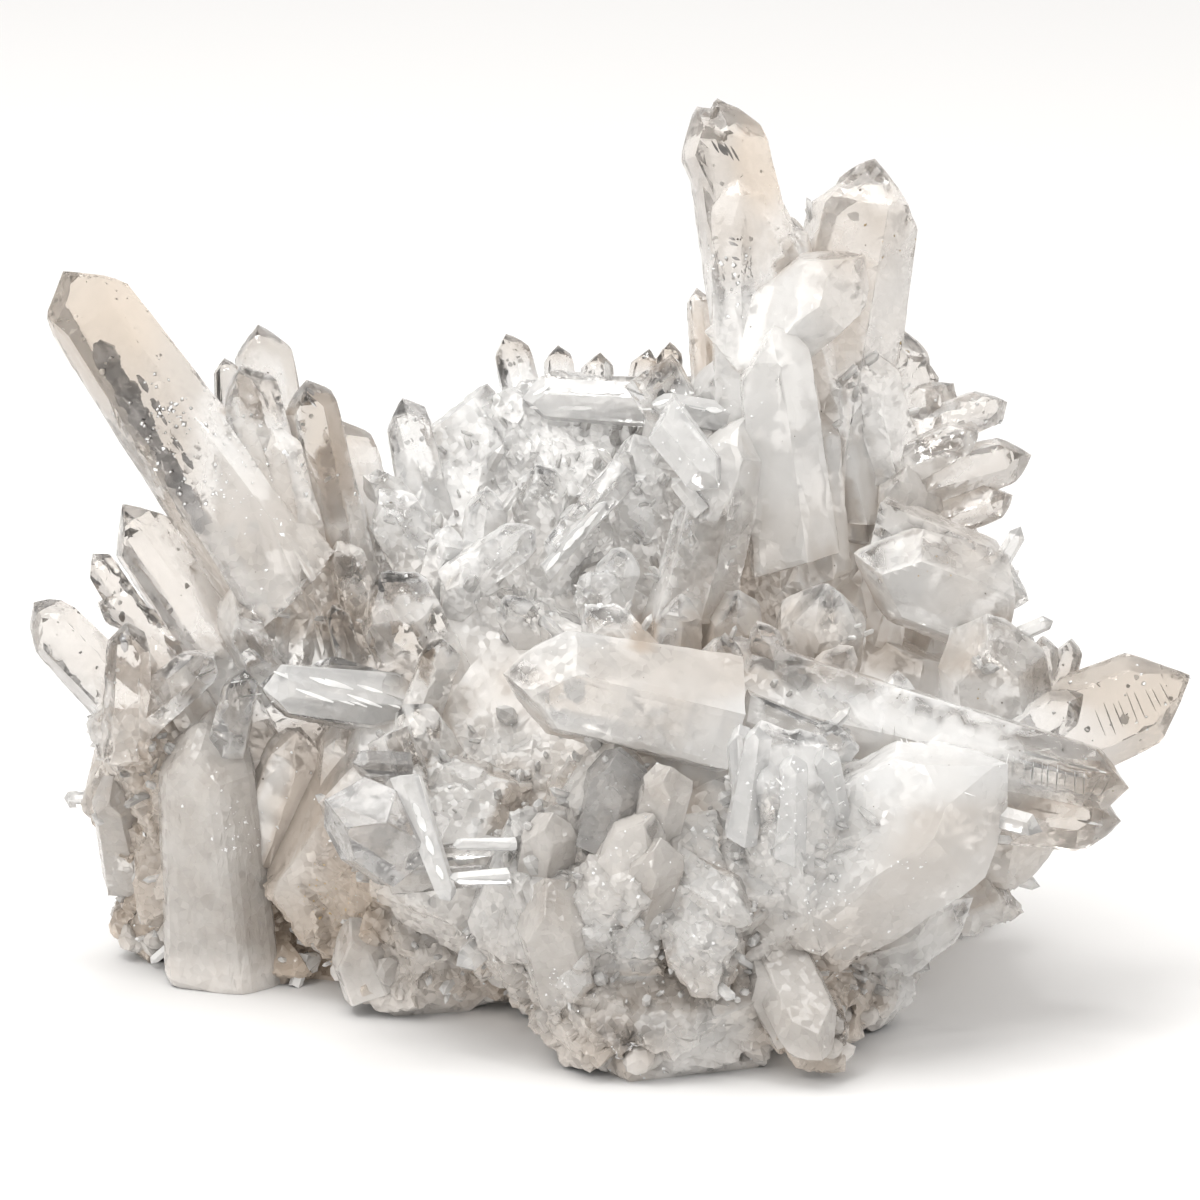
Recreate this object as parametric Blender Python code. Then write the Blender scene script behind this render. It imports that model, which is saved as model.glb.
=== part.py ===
"""A quartz crystal cluster: about two hundred hexagonal crystals grown together from one milky mass.

The mass leans back: its front rises from the floor to a ridge, and the crystals radiate out of it.
Lengths are in millimetres in the tables and in metres in the scene. +Z is up and +Y is the back.
"""

import math
import random
from collections import namedtuple

import bmesh
import bpy
from mathutils import Matrix, Vector

MM = 0.001

# How the front of the specimen was measured
# The front is seen from 15 degrees above the floor and from a little over a metre away.
# "across" and "up" are measured in the plane that faces that view, "back" is along +Y.
LOOK_DOWN = math.radians(15)
VIEW_DISTANCE = 1150 * MM
MIDDLE_ACROSS = -1.3 * MM
MIDDLE_UP = 61.5 * MM
VIEW_RIGHT = Vector((1, 0, 0))
VIEW_UP = Vector((0, math.sin(LOOK_DOWN), math.cos(LOOK_DOWN)))
VIEW_NEAR = Vector((0, -math.cos(LOOK_DOWN), math.sin(LOOK_DOWN)))

# Quartz: the point's faces stand 38.2 degrees from the crystal's own axis
POINT_SLOPE = math.radians(38.2)
FACES_ROUND = 6
TAPER = math.radians(2.2)
CHUNK_SIDES = 15
GOLDEN_ANGLE = math.pi * (3 - math.sqrt(5))

Crystal = namedtuple("Crystal", "name across up back lean toward length width flat twist")
Block = namedtuple("Block", "name across up back wide high deep")
Lump = namedtuple("Lump", "name x y z wide deep high")

# Crystals that show on the front. Each line gives the tip's place (across, up, back), how far the
# crystal leans to the right of upright and tips toward the view in degrees, its length and width,
# its thickness as a share of its width, and its turn about its own axis in degrees.
LEFT_FAN = (
    Crystal("tall_left", -90.6, 116.0, 6, -35.5, 4, 64, 14.6, 0.90, 80),
    Crystal("thin_left", -63.8, 101.8, 22, -6, -5, 42, 4.2, 0.90, 20),
    Crystal("warm_spear", -58.3, 107.2, 26, -10, -8, 52, 9.0, 0.80, 25),
    Crystal("milky_twin_a", -60.7, 100.8, 2, -12, 10, 54, 10.5, 0.90, 5),
    Crystal("milky_twin_b", -50.4, 98.4, 4, -12, 8, 52, 8.0, 0.90, 25),
    Crystal("milky_twin_c", -55.7, 90.5, -2, -12, 12, 46, 8.0, 0.80, 10),
    Crystal("warm_stub", -44.7, 91.8, 18, -12, -5, 42, 10.0, 0.85, 15),
    Crystal("speckled_spire", -34.0, 94.8, 10, -13, 5, 44, 7.4, 0.90, 8),
    Crystal("fallen_small", -41.0, 82.3, 4, -58, 20, 16, 5.6, 0.90, 18),
    Crystal("fallen_wide", -38.0, 80.0, 2, -30, 10, 26, 9.0, 0.90, 4),
    Crystal("lower_left_a", -80.8, 77.0, 2, -34, 8, 42, 10.5, 0.90, 12),
    Crystal("lower_left_b", -86.0, 69.3, 0, -32, 5, 36, 5.6, 0.90, 0),
    Crystal("leftmost", -95.8, 60.6, -2, -43, 10, 38, 9.2, 0.90, 22),
    Crystal("left_clear", -85.0, 61.2, -4, -62, 15, 24, 5.4, 0.85, 5),
    Crystal("left_dark", -79.7, 58.0, -10, 3, 15, 24, 7.0, 0.90, 28),
    Crystal("grey_left", -62.6, 63.4, -10, -28, 30, 34, 10.6, 0.90, 18),
    Crystal("lying_clear", -57.8, 47.0, -20, -80, 14, 26, 7.8, 0.85, 15),
    Crystal("lying_second", -49.5, 50.5, -18, -70, 10, 20, 5.4, 0.85, 2),
    Crystal("left_blade", -65.3, 52.3, -12, 52, 22, 26, 7.4, 0.60, 8),
    Crystal("left_cross", -69.3, 75.4, -6, -140, 12, 20, 4.6, 0.90, 10),
    Crystal("slim_a", -45.7, 60.7, -10, -18, 10, 22, 4.0, 0.90, 12),
    Crystal("slim_b", -45.2, 71.8, -4, -20, 5, 30, 6.0, 0.90, 20),
    Crystal("slim_c", -48.0, 66.0, -4, 15, 0, 20, 5.0, 0.90, 4),
    Crystal("slim_d", -53.2, 63.4, -8, 12, 22, 16, 4.2, 0.90, 18),
    Crystal("slim_e", -52.0, 76.0, -4, -16, 14, 26, 5.4, 0.90, 7),
)

FRONT_LEFT = (
    Crystal("left_point", -79.8, 17.8, -4, -168, 16, 26, 10.0, 0.80, 10),
    Crystal("left_wall", -84.5, 45.0, -2, -30, 10, 26, 10.0, 0.90, 22),
    Crystal("etched_top", -66.0, 42.6, -8, 3, 16, 30, 14.0, 0.85, 8),
    Crystal("etched_side", -73.0, 37.4, -8, -16, 16, 30, 10.0, 0.85, 20),
    Crystal("front_clear", -47.8, 28.4, -28, -78, 26, 28, 14.4, 0.90, 0),
    Crystal("hanging_clear", -26.0, 11.0, -40, 160, 12, 30, 6.0, 0.85, 14),
    Crystal("top_small", -42.7, 34.6, -30, -75, 10, 14, 4.6, 0.90, 10),
    Crystal("bar_upper", -15.3, 20.7, -46, 84, 5, 18, 2.4, 0.90, 10),
    Crystal("bar_lower", -16.3, 15.5, -46, 88, 8, 20, 3.2, 0.90, 22),
    Crystal("under_clear", -43.0, 17.0, -18, -60, 20, 26, 12.0, 0.80, 12),
    Crystal("under_left", -40.0, 5.0, -16, -112, 24, 24, 12.0, 0.80, 16),
    Crystal("grey_small_a", -43.8, 41.2, -16, 5, 30, 20, 7.5, 0.90, 10),
    Crystal("grey_small_b", -29.7, 36.2, -28, -20, 10, 20, 6.4, 0.90, 24),
    Crystal("grey_small_c", -60.5, 50.0, -14, 15, 25, 16, 6.4, 0.90, 0),
    Crystal("grey_small_d", -34.0, 44.0, -26, -28, 24, 26, 8.4, 0.90, 12),
    Crystal("recess_crystal", -51.0, 40.0, -10, 20, 20, 24, 10.0, 0.90, 18),
)

CENTRE = (
    Crystal("central_grey", -37.4, 65.9, -14, -24, 22, 54, 13.2, 0.90, 2),
    Crystal("broad_milky", -19.5, 97.0, 20, 14, 0, 46, 16.5, 0.80, 6),
    Crystal("rim_a", -17.0, 106.0, 36, -15, -5, 34, 6.2, 0.90, 6),
    Crystal("rim_b", -8.3, 104.2, 38, -3, -5, 24, 4.8, 0.90, 24),
    Crystal("rim_c", -1.2, 102.8, 38, 10, -8, 22, 5.6, 0.90, 12),
    Crystal("rim_d", 6.7, 103.4, 36, 12, -5, 20, 4.4, 0.90, 20),
    Crystal("rim_e", 10.2, 104.4, 35, 2, -5, 20, 4.4, 0.90, 5),
    Crystal("glass_ridge_left", -14.6, 94.6, 18, -88, 8, 34, 8.4, 0.85, 0),
    Crystal("glass_ridge_right", 16.0, 95.6, 20, 82, 6, 30, 8.0, 0.85, 15),
    Crystal("centre_frosted", 4.4, 88.6, 2, -12, 25, 42, 12.4, 0.90, 4),
    Crystal("bright_down_a", 19.0, 80.2, -4, 152, 10, 22, 6.4, 0.90, 10),
    Crystal("bright_down_b", 15.4, 82.0, -2, 148, 8, 20, 4.6, 0.90, 22),
    Crystal("bright_edge", -10.3, 68.2, -8, -137, 10, 20, 4.6, 0.80, 0),
    Crystal("milky_flake", -12.0, 73.2, -8, 56, 15, 18, 7.0, 0.75, 16),
    Crystal("frosted_a", -20.0, 80.4, -1, 8, 10, 20, 6.8, 0.90, 12),
    Crystal("frosted_b", -26.2, 74.4, -3, 14, 12, 20, 6.2, 0.90, 4),
    Crystal("frosted_c", -24.0, 67.0, -10, 10, 42, 18, 6.6, 0.90, 20),
    Crystal("frosted_d", -17.0, 62.0, -14, -30, 32, 18, 6.0, 0.90, 9),
    Crystal("frosted_e", -3.0, 77.0, -2, 30, 28, 20, 8.0, 0.90, 15),
    Crystal("frosted_f", -27.0, 55.0, -22, 20, 30, 20, 6.6, 0.90, 3),
    Crystal("frosted_g", -12.0, 84.0, 2, -8, 20, 24, 8.6, 0.90, 22),
    Crystal("frosted_h", -3.0, 66.0, -12, -20, 34, 20, 8.0, 0.90, 6),
    Crystal("frosted_i", 3.0, 70.0, -8, 18, 26, 20, 7.0, 0.90, 17),
    Crystal("centre_milky", -16.8, 49.0, -44, -79, 12, 37, 16.4, 0.90, 8),
    Crystal("centre_milky_crest", -3.4, 60.4, -36, -40, 15, 26, 9.0, 0.80, 14),
    Crystal("shaded_upright", 12.0, 62.8, -14, 4, 15, 28, 8.6, 0.90, 8),
    Crystal("shaded_low", 22.0, 62.8, -14, 10, 30, 24, 9.2, 0.90, 24),
    Crystal("shaded_broad", 32.5, 72.0, -6, -5, 42, 30, 14.4, 0.90, 12),
    Crystal("sparkling_hexagon", 36.5, 63.6, -20, 10, 38, 30, 14.4, 0.90, 3),
    Crystal("valley_a", 48.3, 49.8, -26, 8, 15, 20, 6.4, 0.90, 8),
    Crystal("valley_b", 40.7, 53.5, -26, 42, 15, 20, 6.0, 0.90, 20),
    Crystal("valley_c", 19.6, 55.8, -30, 12, 20, 22, 7.0, 0.90, 4),
    Crystal("valley_d", 25.2, 58.0, -26, -15, 18, 20, 6.2, 0.90, 14),
)

RIGHT_TOWERS = (
    Crystal("tallest", 18.4, 144.6, 14, -11, 4, 76, 13.0, 0.90, 15),
    Crystal("tallest_shoulder", 14.6, 143.4, 13, -26, 4, 27, 11.6, 0.90, 24),
    Crystal("tallest_front", 21.8, 133.4, 8, -2, 6, 56, 9.2, 0.90, 4),
    Crystal("tallest_side", 28.6, 125.8, 11, -14, 4, 52, 7.6, 0.90, 16),
    Crystal("second_tall", 44.2, 134.8, 20, 10, 0, 66, 17.6, 0.85, 80),
    Crystal("crossing_light", 42.8, 118.6, 2, 51, 16, 26, 14.6, 0.90, 6),
    Crystal("rim_thin", 14.8, 113.4, 20, -5, -5, 26, 4.2, 0.90, 12),
    Crystal("end_on", 19.2, 102.0, 2, -4, 38, 28, 10.0, 0.90, 2),
    Crystal("end_on_low", 12.0, 98.0, 6, 10, 30, 24, 9.0, 0.90, 18),
    Crystal("big_upright_milky", 27.2, 106.8, -4, -7, 12, 40, 11.8, 0.90, 4),
    Crystal("leaning_milky", 23.0, 92.0, -6, 16, 10, 36, 11.6, 0.85, 15),
    Crystal("milky_side", 35.0, 93.0, 0, -3, 5, 28, 7.0, 0.90, 9),
    Crystal("grey_blade", 43.0, 103.2, 6, -13, 12, 40, 9.8, 0.85, 6),
    Crystal("behind_blade_a", 48.6, 106.8, 16, 2, -3, 46, 9.4, 0.90, 14),
    Crystal("behind_blade_b", 52.2, 102.6, 18, 8, -3, 40, 7.2, 0.90, 3),
    Crystal("behind_blade_c", 54.4, 97.2, 16, 12, 0, 34, 5.6, 0.90, 22),
    Crystal("right_finger_a", 57.6, 97.8, 10, 48, 8, 34, 7.2, 0.90, 12),
    Crystal("right_finger_b", 66.4, 94.6, 8, 70, 8, 38, 7.0, 0.90, 4),
    Crystal("right_finger_c", 70.4, 85.8, 6, 76, 5, 40, 7.6, 0.90, 18),
    Crystal("right_finger_d", 67.4, 79.0, 4, 70, 10, 36, 6.8, 0.90, 0),
    Crystal("right_finger_e", 62.0, 90.0, 2, 64, 12, 28, 6.4, 0.90, 10),
    Crystal("right_back_wall", 60.2, 75.4, 18, 22, -10, 30, 9.4, 0.90, 10),
    Crystal("blade_foot", 50.0, 84.0, 0, 12, 15, 30, 8.0, 0.85, 18),
    Crystal("blade_side", 54.0, 82.0, 4, 28, 10, 30, 8.0, 0.90, 7),
)

FRONT_RIGHT = (
    Crystal("right_milky", 41.2, 69.0, -12, -71, 16, 27, 15.4, 0.85, 10),
    Crystal("right_milky_end", 69.4, 61.4, -8, 112, 4, 26, 13.6, 0.90, 16),
    Crystal("frosted_block", 63.0, 59.0, -20, -8, 30, 30, 16.0, 0.90, 20),
    Crystal("rim_low_a", 77.3, 55.2, -10, 14, 0, 20, 4.6, 0.90, 8),
    Crystal("rim_low_b", 72.6, 55.8, -12, -4, 5, 20, 4.4, 0.90, 20),
    Crystal("rim_low_c", 69.0, 57.0, -14, 4, 12, 20, 4.8, 0.90, 2),
    Crystal("right_clear", 96.6, 48.4, -18, 66, 12, 50, 15.0, 0.85, 85),
    Crystal("right_clear_side", 79.0, 46.0, -24, 52, 16, 24, 7.0, 0.85, 20),
    Crystal("long_clear", 86.8, 30.6, -38, 104, 8, 66, 10.6, 0.90, 4),
    Crystal("long_clear_low", 85.6, 25.0, -34, 98, 6, 44, 11.4, 0.90, 20),
    Crystal("long_clear_chip", 42.0, 36.0, -44, 108, 10, 20, 6.0, 0.80, 10),
    Crystal("massive_right", 67.2, 33.0, -47, 59, 12, 76, 26.0, 0.80, 10),
    Crystal("massive_under", 60.5, 12.0, -40, 74, 10, 44, 16.0, 0.90, 20),
    Crystal("right_block_a", 74.4, 20.4, -22, 98, 0, 36, 15.0, 0.90, 5),
    Crystal("right_block_b", 68.6, 10.0, -24, 104, 6, 34, 12.0, 0.90, 22),
    Crystal("fracture_glass", 26.0, 41.0, -50, -14, 18, 34, 18.0, 0.90, 3),
)

FOOT = (
    Crystal("front_foot", -8.6, -9.0, -58, -166, 30, 30, 14.4, 0.90, 9),
    Crystal("frosted_foot", -19.2, 0.0, -44, -150, 22, 24, 8.4, 0.70, 18),
    Crystal("right_foot", 39.0, -16.6, -60, 150, 8, 26, 10.0, 0.80, 12),
    Crystal("shaded_pyramid", 0.8, 37.8, -46, 3, 25, 30, 13.4, 0.90, 22),
    Crystal("frosted_lower", -15.8, 25.8, -48, -40, 34, 28, 11.4, 0.90, 6),
    Crystal("frosted_mid", -3.0, 19.0, -56, -25, 30, 28, 12.0, 0.90, 15),
    Crystal("foot_shard_a", 3.0, 7.0, -60, -170, 25, 26, 10.0, 0.80, 3),
    Crystal("foot_shard_b", 18.0, -4.0, -62, 170, 20, 28, 12.0, 0.85, 20),
    Crystal("foot_shard_c", -32.0, -5.0, -26, -140, 18, 26, 10.0, 0.90, 11),
    Crystal("foot_shard_d", 24.0, 8.0, -60, 120, 20, 26, 9.0, 0.80, 8),
    Crystal("foot_shard_e", 8.0, 26.0, -56, 30, 20, 26, 9.0, 0.80, 18),
)

# Irregular milky chunks with broken and etched sides: the middle's place, and the size
CHUNKS = (
    Block("etched_front_left", -67.0, 19.0, 0, 20, 46, 22),
    Block("left_recess", -49.0, 22.0, 8, 22, 44, 24),
    Block("left_base", -56.0, 5.0, 2, 34, 20, 26),
    Block("left_rim_upper", -81.0, 31.0, 6, 11, 20, 16),
    Block("left_rim_lower", -75.6, 10.0, 6, 11, 18, 16),
    Block("base_knob", -45.6, 2.4, -3, 12, 13, 14),
    Block("base_left", -31.0, 3.0, -18, 32, 24, 28),
    Block("front_wall_left", -22.0, 20.0, -26, 30, 34, 30),
    Block("front_wall", -2.0, 8.0, -42, 40, 40, 30),
    Block("front_toe", 10.0, -4.0, -48, 50, 20, 26),
    Block("front_wall_right", 22.0, 14.0, -40, 36, 40, 32),
    Block("under_massive", 33.0, 0.0, -34, 32, 22, 32),
    Block("right_flank", 57.0, 22.0, -6, 30, 28, 36),
)

# The milky mass inside: overlapping chunks, each with its middle and its size
MASS = (
    Lump("mass_heart", -6, 4, 26, 110, 76, 70),
    Lump("mass_left", -56, 14, 26, 44, 44, 62),
    Lump("mass_front", 10, -30, 22, 62, 48, 62),
    Lump("mass_right", 42, 6, 36, 50, 46, 50),
    Lump("mass_ridge", -8, 20, 56, 82, 40, 52),
    Lump("mass_ridge_left", -34, 14, 52, 40, 36, 44),
    Lump("mass_tower_foot", 32, 16, 62, 46, 42, 50),
    Lump("mass_back", 0, 22, 24, 92, 44, 58),
    Lump("mass_back_top", -4, 22, 54, 70, 34, 42),
    Lump("mass_ridge_top", -1, 25, 80, 60, 22, 26),
)

# Crystals on the sides and the back, which the front view hides, spread evenly and then scattered
BACK_ROWS = (
    # height above the floor, how far out the tips stand, how many, width, length, rise in degrees
    (9, 1.06, 11, 12.0, 30, -8),
    (22, 1.10, 12, 9.0, 32, 8),
    (36, 1.04, 11, 11.5, 38, 20),
    (50, 0.96, 11, 9.0, 38, 34),
    (63, 0.80, 9, 10.5, 38, 44),
    (69, 0.64, 6, 7.4, 34, 52),
)
BACK_FROM, BACK_TO = math.radians(-14), math.radians(194)
BACK_SIZE = Vector((66, 54, 0)) * MM
BACK_MIDDLE = Vector((-2, 4, 0)) * MM


def place(across, up, back):
    """The point that shows at this place of the front view and lies this far back."""
    rise = up - MIDDLE_UP
    near = (rise * VIEW_UP.y - back) / (math.cos(LOOK_DOWN) + rise * VIEW_UP.y / VIEW_DISTANCE)
    shrink = 1 - near / VIEW_DISTANCE
    middle = VIEW_RIGHT * MIDDLE_ACROSS + Vector((0, 0, MIDDLE_UP / math.cos(LOOK_DOWN)))
    return middle + VIEW_RIGHT * ((across - MIDDLE_ACROSS) * shrink) + VIEW_UP * (rise * shrink) + VIEW_NEAR * near


def heading(lean, toward):
    """The direction of a crystal that leans to the right and tips toward the view, in radians."""
    in_plane = VIEW_RIGHT * math.sin(lean) + VIEW_UP * math.cos(lean)
    return in_plane * math.cos(toward) + VIEW_NEAR * math.sin(toward)


def cut(form, point, normal):
    """Takes off what lies beyond a plane and closes the cut with one flat face."""
    geometry = form.verts[:] + form.edges[:] + form.faces[:]
    made = bmesh.ops.bisect_plane(
        form, geom=geometry, dist=1e-7, plane_co=point, plane_no=normal, clear_outer=True
    )
    rim = [item for item in made["geom_cut"] if isinstance(item, bmesh.types.BMEdge)]
    if len(rim) > 2:
        bmesh.ops.edgeloop_fill(form, edges=rim)


def crystal_form(name, length, width, flat, twist):
    """One quartz crystal, its tip at the origin and its axis along +Z, cut from a block by its faces."""
    rng = random.Random(name)
    form = bmesh.new()
    bmesh.ops.create_cube(form, size=4 * (length + width))
    point_length = width / 2 / math.tan(POINT_SLOPE)
    for side in range(FACES_ROUND):
        angle = math.radians(twist) + side * math.tau / FACES_ROUND
        outward = Vector((math.cos(angle), math.sin(angle), 0))
        reach = width / 2 * math.hypot(outward.x, outward.y * flat) * rng.uniform(0.88, 1.08)
        lean_in = TAPER * rng.uniform(0.4, 1.6)
        cut(form, outward * reach - Vector((0, 0, point_length)), outward + Vector((0, 0, math.tan(lean_in))))
        beyond = rng.uniform(-0.02, 0.10) if side % 2 else rng.uniform(0.08, 0.34)
        slope = outward * math.cos(POINT_SLOPE) + Vector((0, 0, math.sin(POINT_SLOPE)))
        cut(form, Vector((0, 0, beyond * width)), slope)
    broken = Vector((rng.uniform(-0.35, 0.35), rng.uniform(-0.35, 0.35), -1))
    cut(form, Vector((0, 0, -length)), broken)
    return form


def stand(form, tip, direction):
    """Moves a crystal so that its tip is at a point and its axis runs along a direction."""
    side = direction.cross(VIEW_NEAR).normalized()
    turn = Matrix((side, direction.cross(side), direction)).transposed().to_4x4()
    bmesh.ops.transform(form, matrix=Matrix.Translation(tip) @ turn, verts=form.verts)


def add_solid(name, form, collection):
    """A closed solid made an object, helpers with the display of a helper."""
    bmesh.ops.recalc_face_normals(form, faces=form.faces)
    mesh = bpy.data.meshes.new(name)
    form.to_mesh(mesh)
    form.free()
    solid = bpy.data.objects.new(name, mesh)
    collection.objects.link(solid)
    solid.hide_render = True
    solid.display_type = "WIRE"
    return solid


def add_front_crystal(shape, collection):
    """One crystal of the tables, which are in millimetres and degrees."""
    form = crystal_form(shape.name, shape.length * MM, shape.width * MM, shape.flat, shape.twist)
    direction = heading(math.radians(shape.lean), math.radians(shape.toward))
    stand(form, place(shape.across * MM, shape.up * MM, shape.back * MM), direction)
    add_solid(shape.name, form, collection)


def chunk_form(name, wide, deep, high):
    """An uneven chunk round the origin, broken flat on many sides."""
    rng = random.Random(name)
    form = bmesh.new()
    bmesh.ops.create_cube(form, size=2 * (wide + deep + high))
    for number in range(CHUNK_SIDES):
        rise = 1 - 2 * (number + 0.5) / CHUNK_SIDES
        angle = number * GOLDEN_ANGLE + rng.uniform(-0.35, 0.35)
        outward = Vector((math.cos(angle), math.sin(angle), 0)) * math.sqrt(1 - rise * rise)
        outward.z = rise
        reach = Vector((outward.x * wide, outward.y * deep, outward.z * high)).length / 2
        cut(form, outward * reach * rng.uniform(0.80, 1.0), outward)
    return form


def add_chunk(shape, collection):
    """One chunk of the front, placed as the crystals are."""
    form = chunk_form(shape.name, shape.wide * MM, shape.deep * MM, shape.high * MM)
    middle = place(shape.across * MM, shape.up * MM, shape.back * MM)
    bmesh.ops.transform(form, matrix=Matrix.Translation(middle), verts=form.verts)
    return add_solid(shape.name, form, collection)


def add_lump(shape, collection):
    """One chunk of the mass inside."""
    form = chunk_form(shape.name, shape.wide * MM, shape.deep * MM, shape.high * MM)
    middle = Vector((shape.x, shape.y, shape.z)) * MM
    bmesh.ops.transform(form, matrix=Matrix.Translation(middle), verts=form.verts)
    return add_solid(shape.name, form, collection)


def add_back_crystals(collection):
    """Rows of crystals round the sides and the back, pointing outward and up."""
    rng = random.Random("back of the cluster")
    for row, (height, reach, count, width, length, rise) in enumerate(BACK_ROWS):
        for number in range(count):
            share = (number + 0.5 + rng.uniform(-0.35, 0.35)) / count
            angle = BACK_FROM + (BACK_TO - BACK_FROM) * share
            outward = Vector((math.cos(angle), math.sin(angle), 0))
            up = math.radians(rise + rng.uniform(-16, 16))
            direction = outward * math.cos(up) + Vector((0, 0, math.sin(up)))
            direction = (direction + Vector([rng.uniform(-0.25, 0.25) for _ in range(3)])).normalized()
            size = rng.uniform(0.65, 1.4)
            form = crystal_form(f"back {row} {number}", length * MM, width * size * MM, 0.9, rng.uniform(0, 60))
            edge = Vector((outward.x * BACK_SIZE.x, outward.y * BACK_SIZE.y, 0)) * reach * rng.uniform(0.93, 1.07)
            tip = BACK_MIDDLE + edge + Vector((0, 0, (height + rng.uniform(-5, 5)) * MM))
            stand(form, tip, direction)
            add_solid(f"back_{row}_{number}", form, collection)


def quartz():
    """Milky to clear quartz."""
    material = bpy.data.materials.new("quartz")
    material.use_nodes = True
    shader = material.node_tree.nodes["Principled BSDF"]
    shader.inputs["Base Color"].default_value = (0.86, 0.84, 0.81, 1)
    shader.inputs["Roughness"].default_value = 0.12
    shader.inputs["Metallic"].default_value = 0
    shader.inputs["IOR"].default_value = 1.544
    shader.inputs["Transmission Weight"].default_value = 0.6
    return material


def grow(cluster, collection):
    """Joins the crystals to the mass, so that the cluster is one solid."""
    joined = cluster.modifiers.new("crystals grown together", "BOOLEAN")
    joined.operation = "UNION"
    joined.operand_type = "COLLECTION"
    joined.collection = collection


def cut_flat(cluster, collection):
    """Cuts the underside off flat, where the cluster was broken from its rock."""
    form = bmesh.new()
    bmesh.ops.create_cube(form, size=1)
    bmesh.ops.transform(form, matrix=Matrix.Translation((0, 0, -0.5)), verts=form.verts)
    ground = add_solid("ground_cut", form, collection)
    floor = cluster.modifiers.new("flat underside", "BOOLEAN")
    floor.operation = "DIFFERENCE"
    floor.object = ground


def connected_faces(start):
    """All faces that join a face across edges."""
    found = {start}
    waiting = [start]
    while waiting:
        for edge in waiting.pop().edges:
            for face in edge.link_faces:
                if face not in found:
                    found.add(face)
                    waiting.append(face)
    return found


def fill_hollows(cluster):
    """Keeps the outer skin only: a hollow that crossing crystals shut in is solid quartz."""
    shape = cluster.evaluated_get(bpy.context.evaluated_depsgraph_get())
    mesh = bpy.data.meshes.new_from_object(shape)
    form = bmesh.new()
    form.from_mesh(mesh)
    highest = max(form.verts, key=lambda vert: vert.co.z)
    skin = connected_faces(highest.link_faces[0])
    inner = [face for face in form.faces if face not in skin]
    bmesh.ops.delete(form, geom=inner, context="FACES")
    form.to_mesh(mesh)
    form.free()
    cluster.modifiers.clear()
    cluster.data = mesh


def centre(cluster):
    """Puts the middle of the cluster's width and depth over the origin."""
    places = [vert.co for vert in cluster.data.vertices]
    middle_x = (min(place.x for place in places) + max(place.x for place in places)) / 2
    middle_y = (min(place.y for place in places) + max(place.y for place in places)) / 2
    cluster.data.transform(Matrix.Translation((-middle_x, -middle_y, 0)))
    print(f"moved by {-middle_x * 1000:.3f} and {-middle_y * 1000:.3f} mm")


def main():
    for thing in list(bpy.data.objects):
        bpy.data.objects.remove(thing)
    scene = bpy.context.scene
    grown = bpy.data.collections.new("grown together")
    helpers = bpy.data.collections.new("helpers")
    scene.collection.children.link(grown)
    scene.collection.children.link(helpers)
    for group in (LEFT_FAN, FRONT_LEFT, CENTRE, RIGHT_TOWERS, FRONT_RIGHT, FOOT):
        for shape in group:
            add_front_crystal(shape, grown)
    add_back_crystals(grown)
    for shape in CHUNKS:
        add_chunk(shape, grown)
    for shape in MASS[1:]:
        add_lump(shape, grown)
    cluster = add_lump(MASS[0], scene.collection)
    cluster.name = "quartz_cluster"
    cluster.hide_render = False
    cluster.display_type = "TEXTURED"
    cluster.data.materials.append(quartz())
    grow(cluster, grown)
    cut_flat(cluster, helpers)
    fill_hollows(cluster)
    centre(cluster)


main()
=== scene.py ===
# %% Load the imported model
import math
import random
from collections import namedtuple

import bmesh
import bpy
import numpy as np
from mathutils import Matrix, Vector, noise
from mathutils.bvhtree import BVHTree


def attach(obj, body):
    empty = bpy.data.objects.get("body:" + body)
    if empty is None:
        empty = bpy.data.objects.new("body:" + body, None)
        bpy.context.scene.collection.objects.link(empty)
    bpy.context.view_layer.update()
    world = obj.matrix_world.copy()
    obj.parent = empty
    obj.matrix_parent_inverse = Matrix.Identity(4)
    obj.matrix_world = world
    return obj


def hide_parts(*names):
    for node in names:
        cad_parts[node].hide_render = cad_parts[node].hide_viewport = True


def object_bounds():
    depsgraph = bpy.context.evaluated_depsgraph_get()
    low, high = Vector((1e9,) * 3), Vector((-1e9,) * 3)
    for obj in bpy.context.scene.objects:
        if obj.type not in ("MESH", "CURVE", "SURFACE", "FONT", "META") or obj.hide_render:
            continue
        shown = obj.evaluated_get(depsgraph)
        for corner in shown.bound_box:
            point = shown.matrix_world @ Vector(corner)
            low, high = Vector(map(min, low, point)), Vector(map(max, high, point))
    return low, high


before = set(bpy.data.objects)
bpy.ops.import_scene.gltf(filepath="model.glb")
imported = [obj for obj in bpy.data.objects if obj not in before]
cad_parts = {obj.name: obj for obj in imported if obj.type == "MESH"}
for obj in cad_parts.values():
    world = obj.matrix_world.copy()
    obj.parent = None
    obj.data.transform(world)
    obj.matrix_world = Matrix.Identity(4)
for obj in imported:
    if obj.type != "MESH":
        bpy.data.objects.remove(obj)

MM = 0.001
cad_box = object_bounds()
cluster = bpy.data.objects["quartz_cluster"]
low, high = (Vector(corner) for corner in cad_box)
print("solid cluster, mm:", [round(side / MM, 1) for side in high - low])

# %% [markdown]
# ## The camera
# The cluster stands on a table and is looked at from about a metre away and a little above. A long
# lens keeps the crystals' sides parallel, as in the picture. The camera could be placed by eye, but
# its height, distance and field follow from three measured numbers, so it is worked out here: the
# angle that it looks down at, its distance, and how wide the picture is at the cluster's middle.

# %% The camera
LOOK_DOWN = math.radians(15)
DISTANCE = 1150 * MM
PICTURE_WIDTH = 200 * MM
AIM = Vector((-1.3 * MM, 0, 61.5 * MM / math.cos(LOOK_DOWN)))
SHIFT = Vector((0.34, 0.51, 0)) * MM

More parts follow.
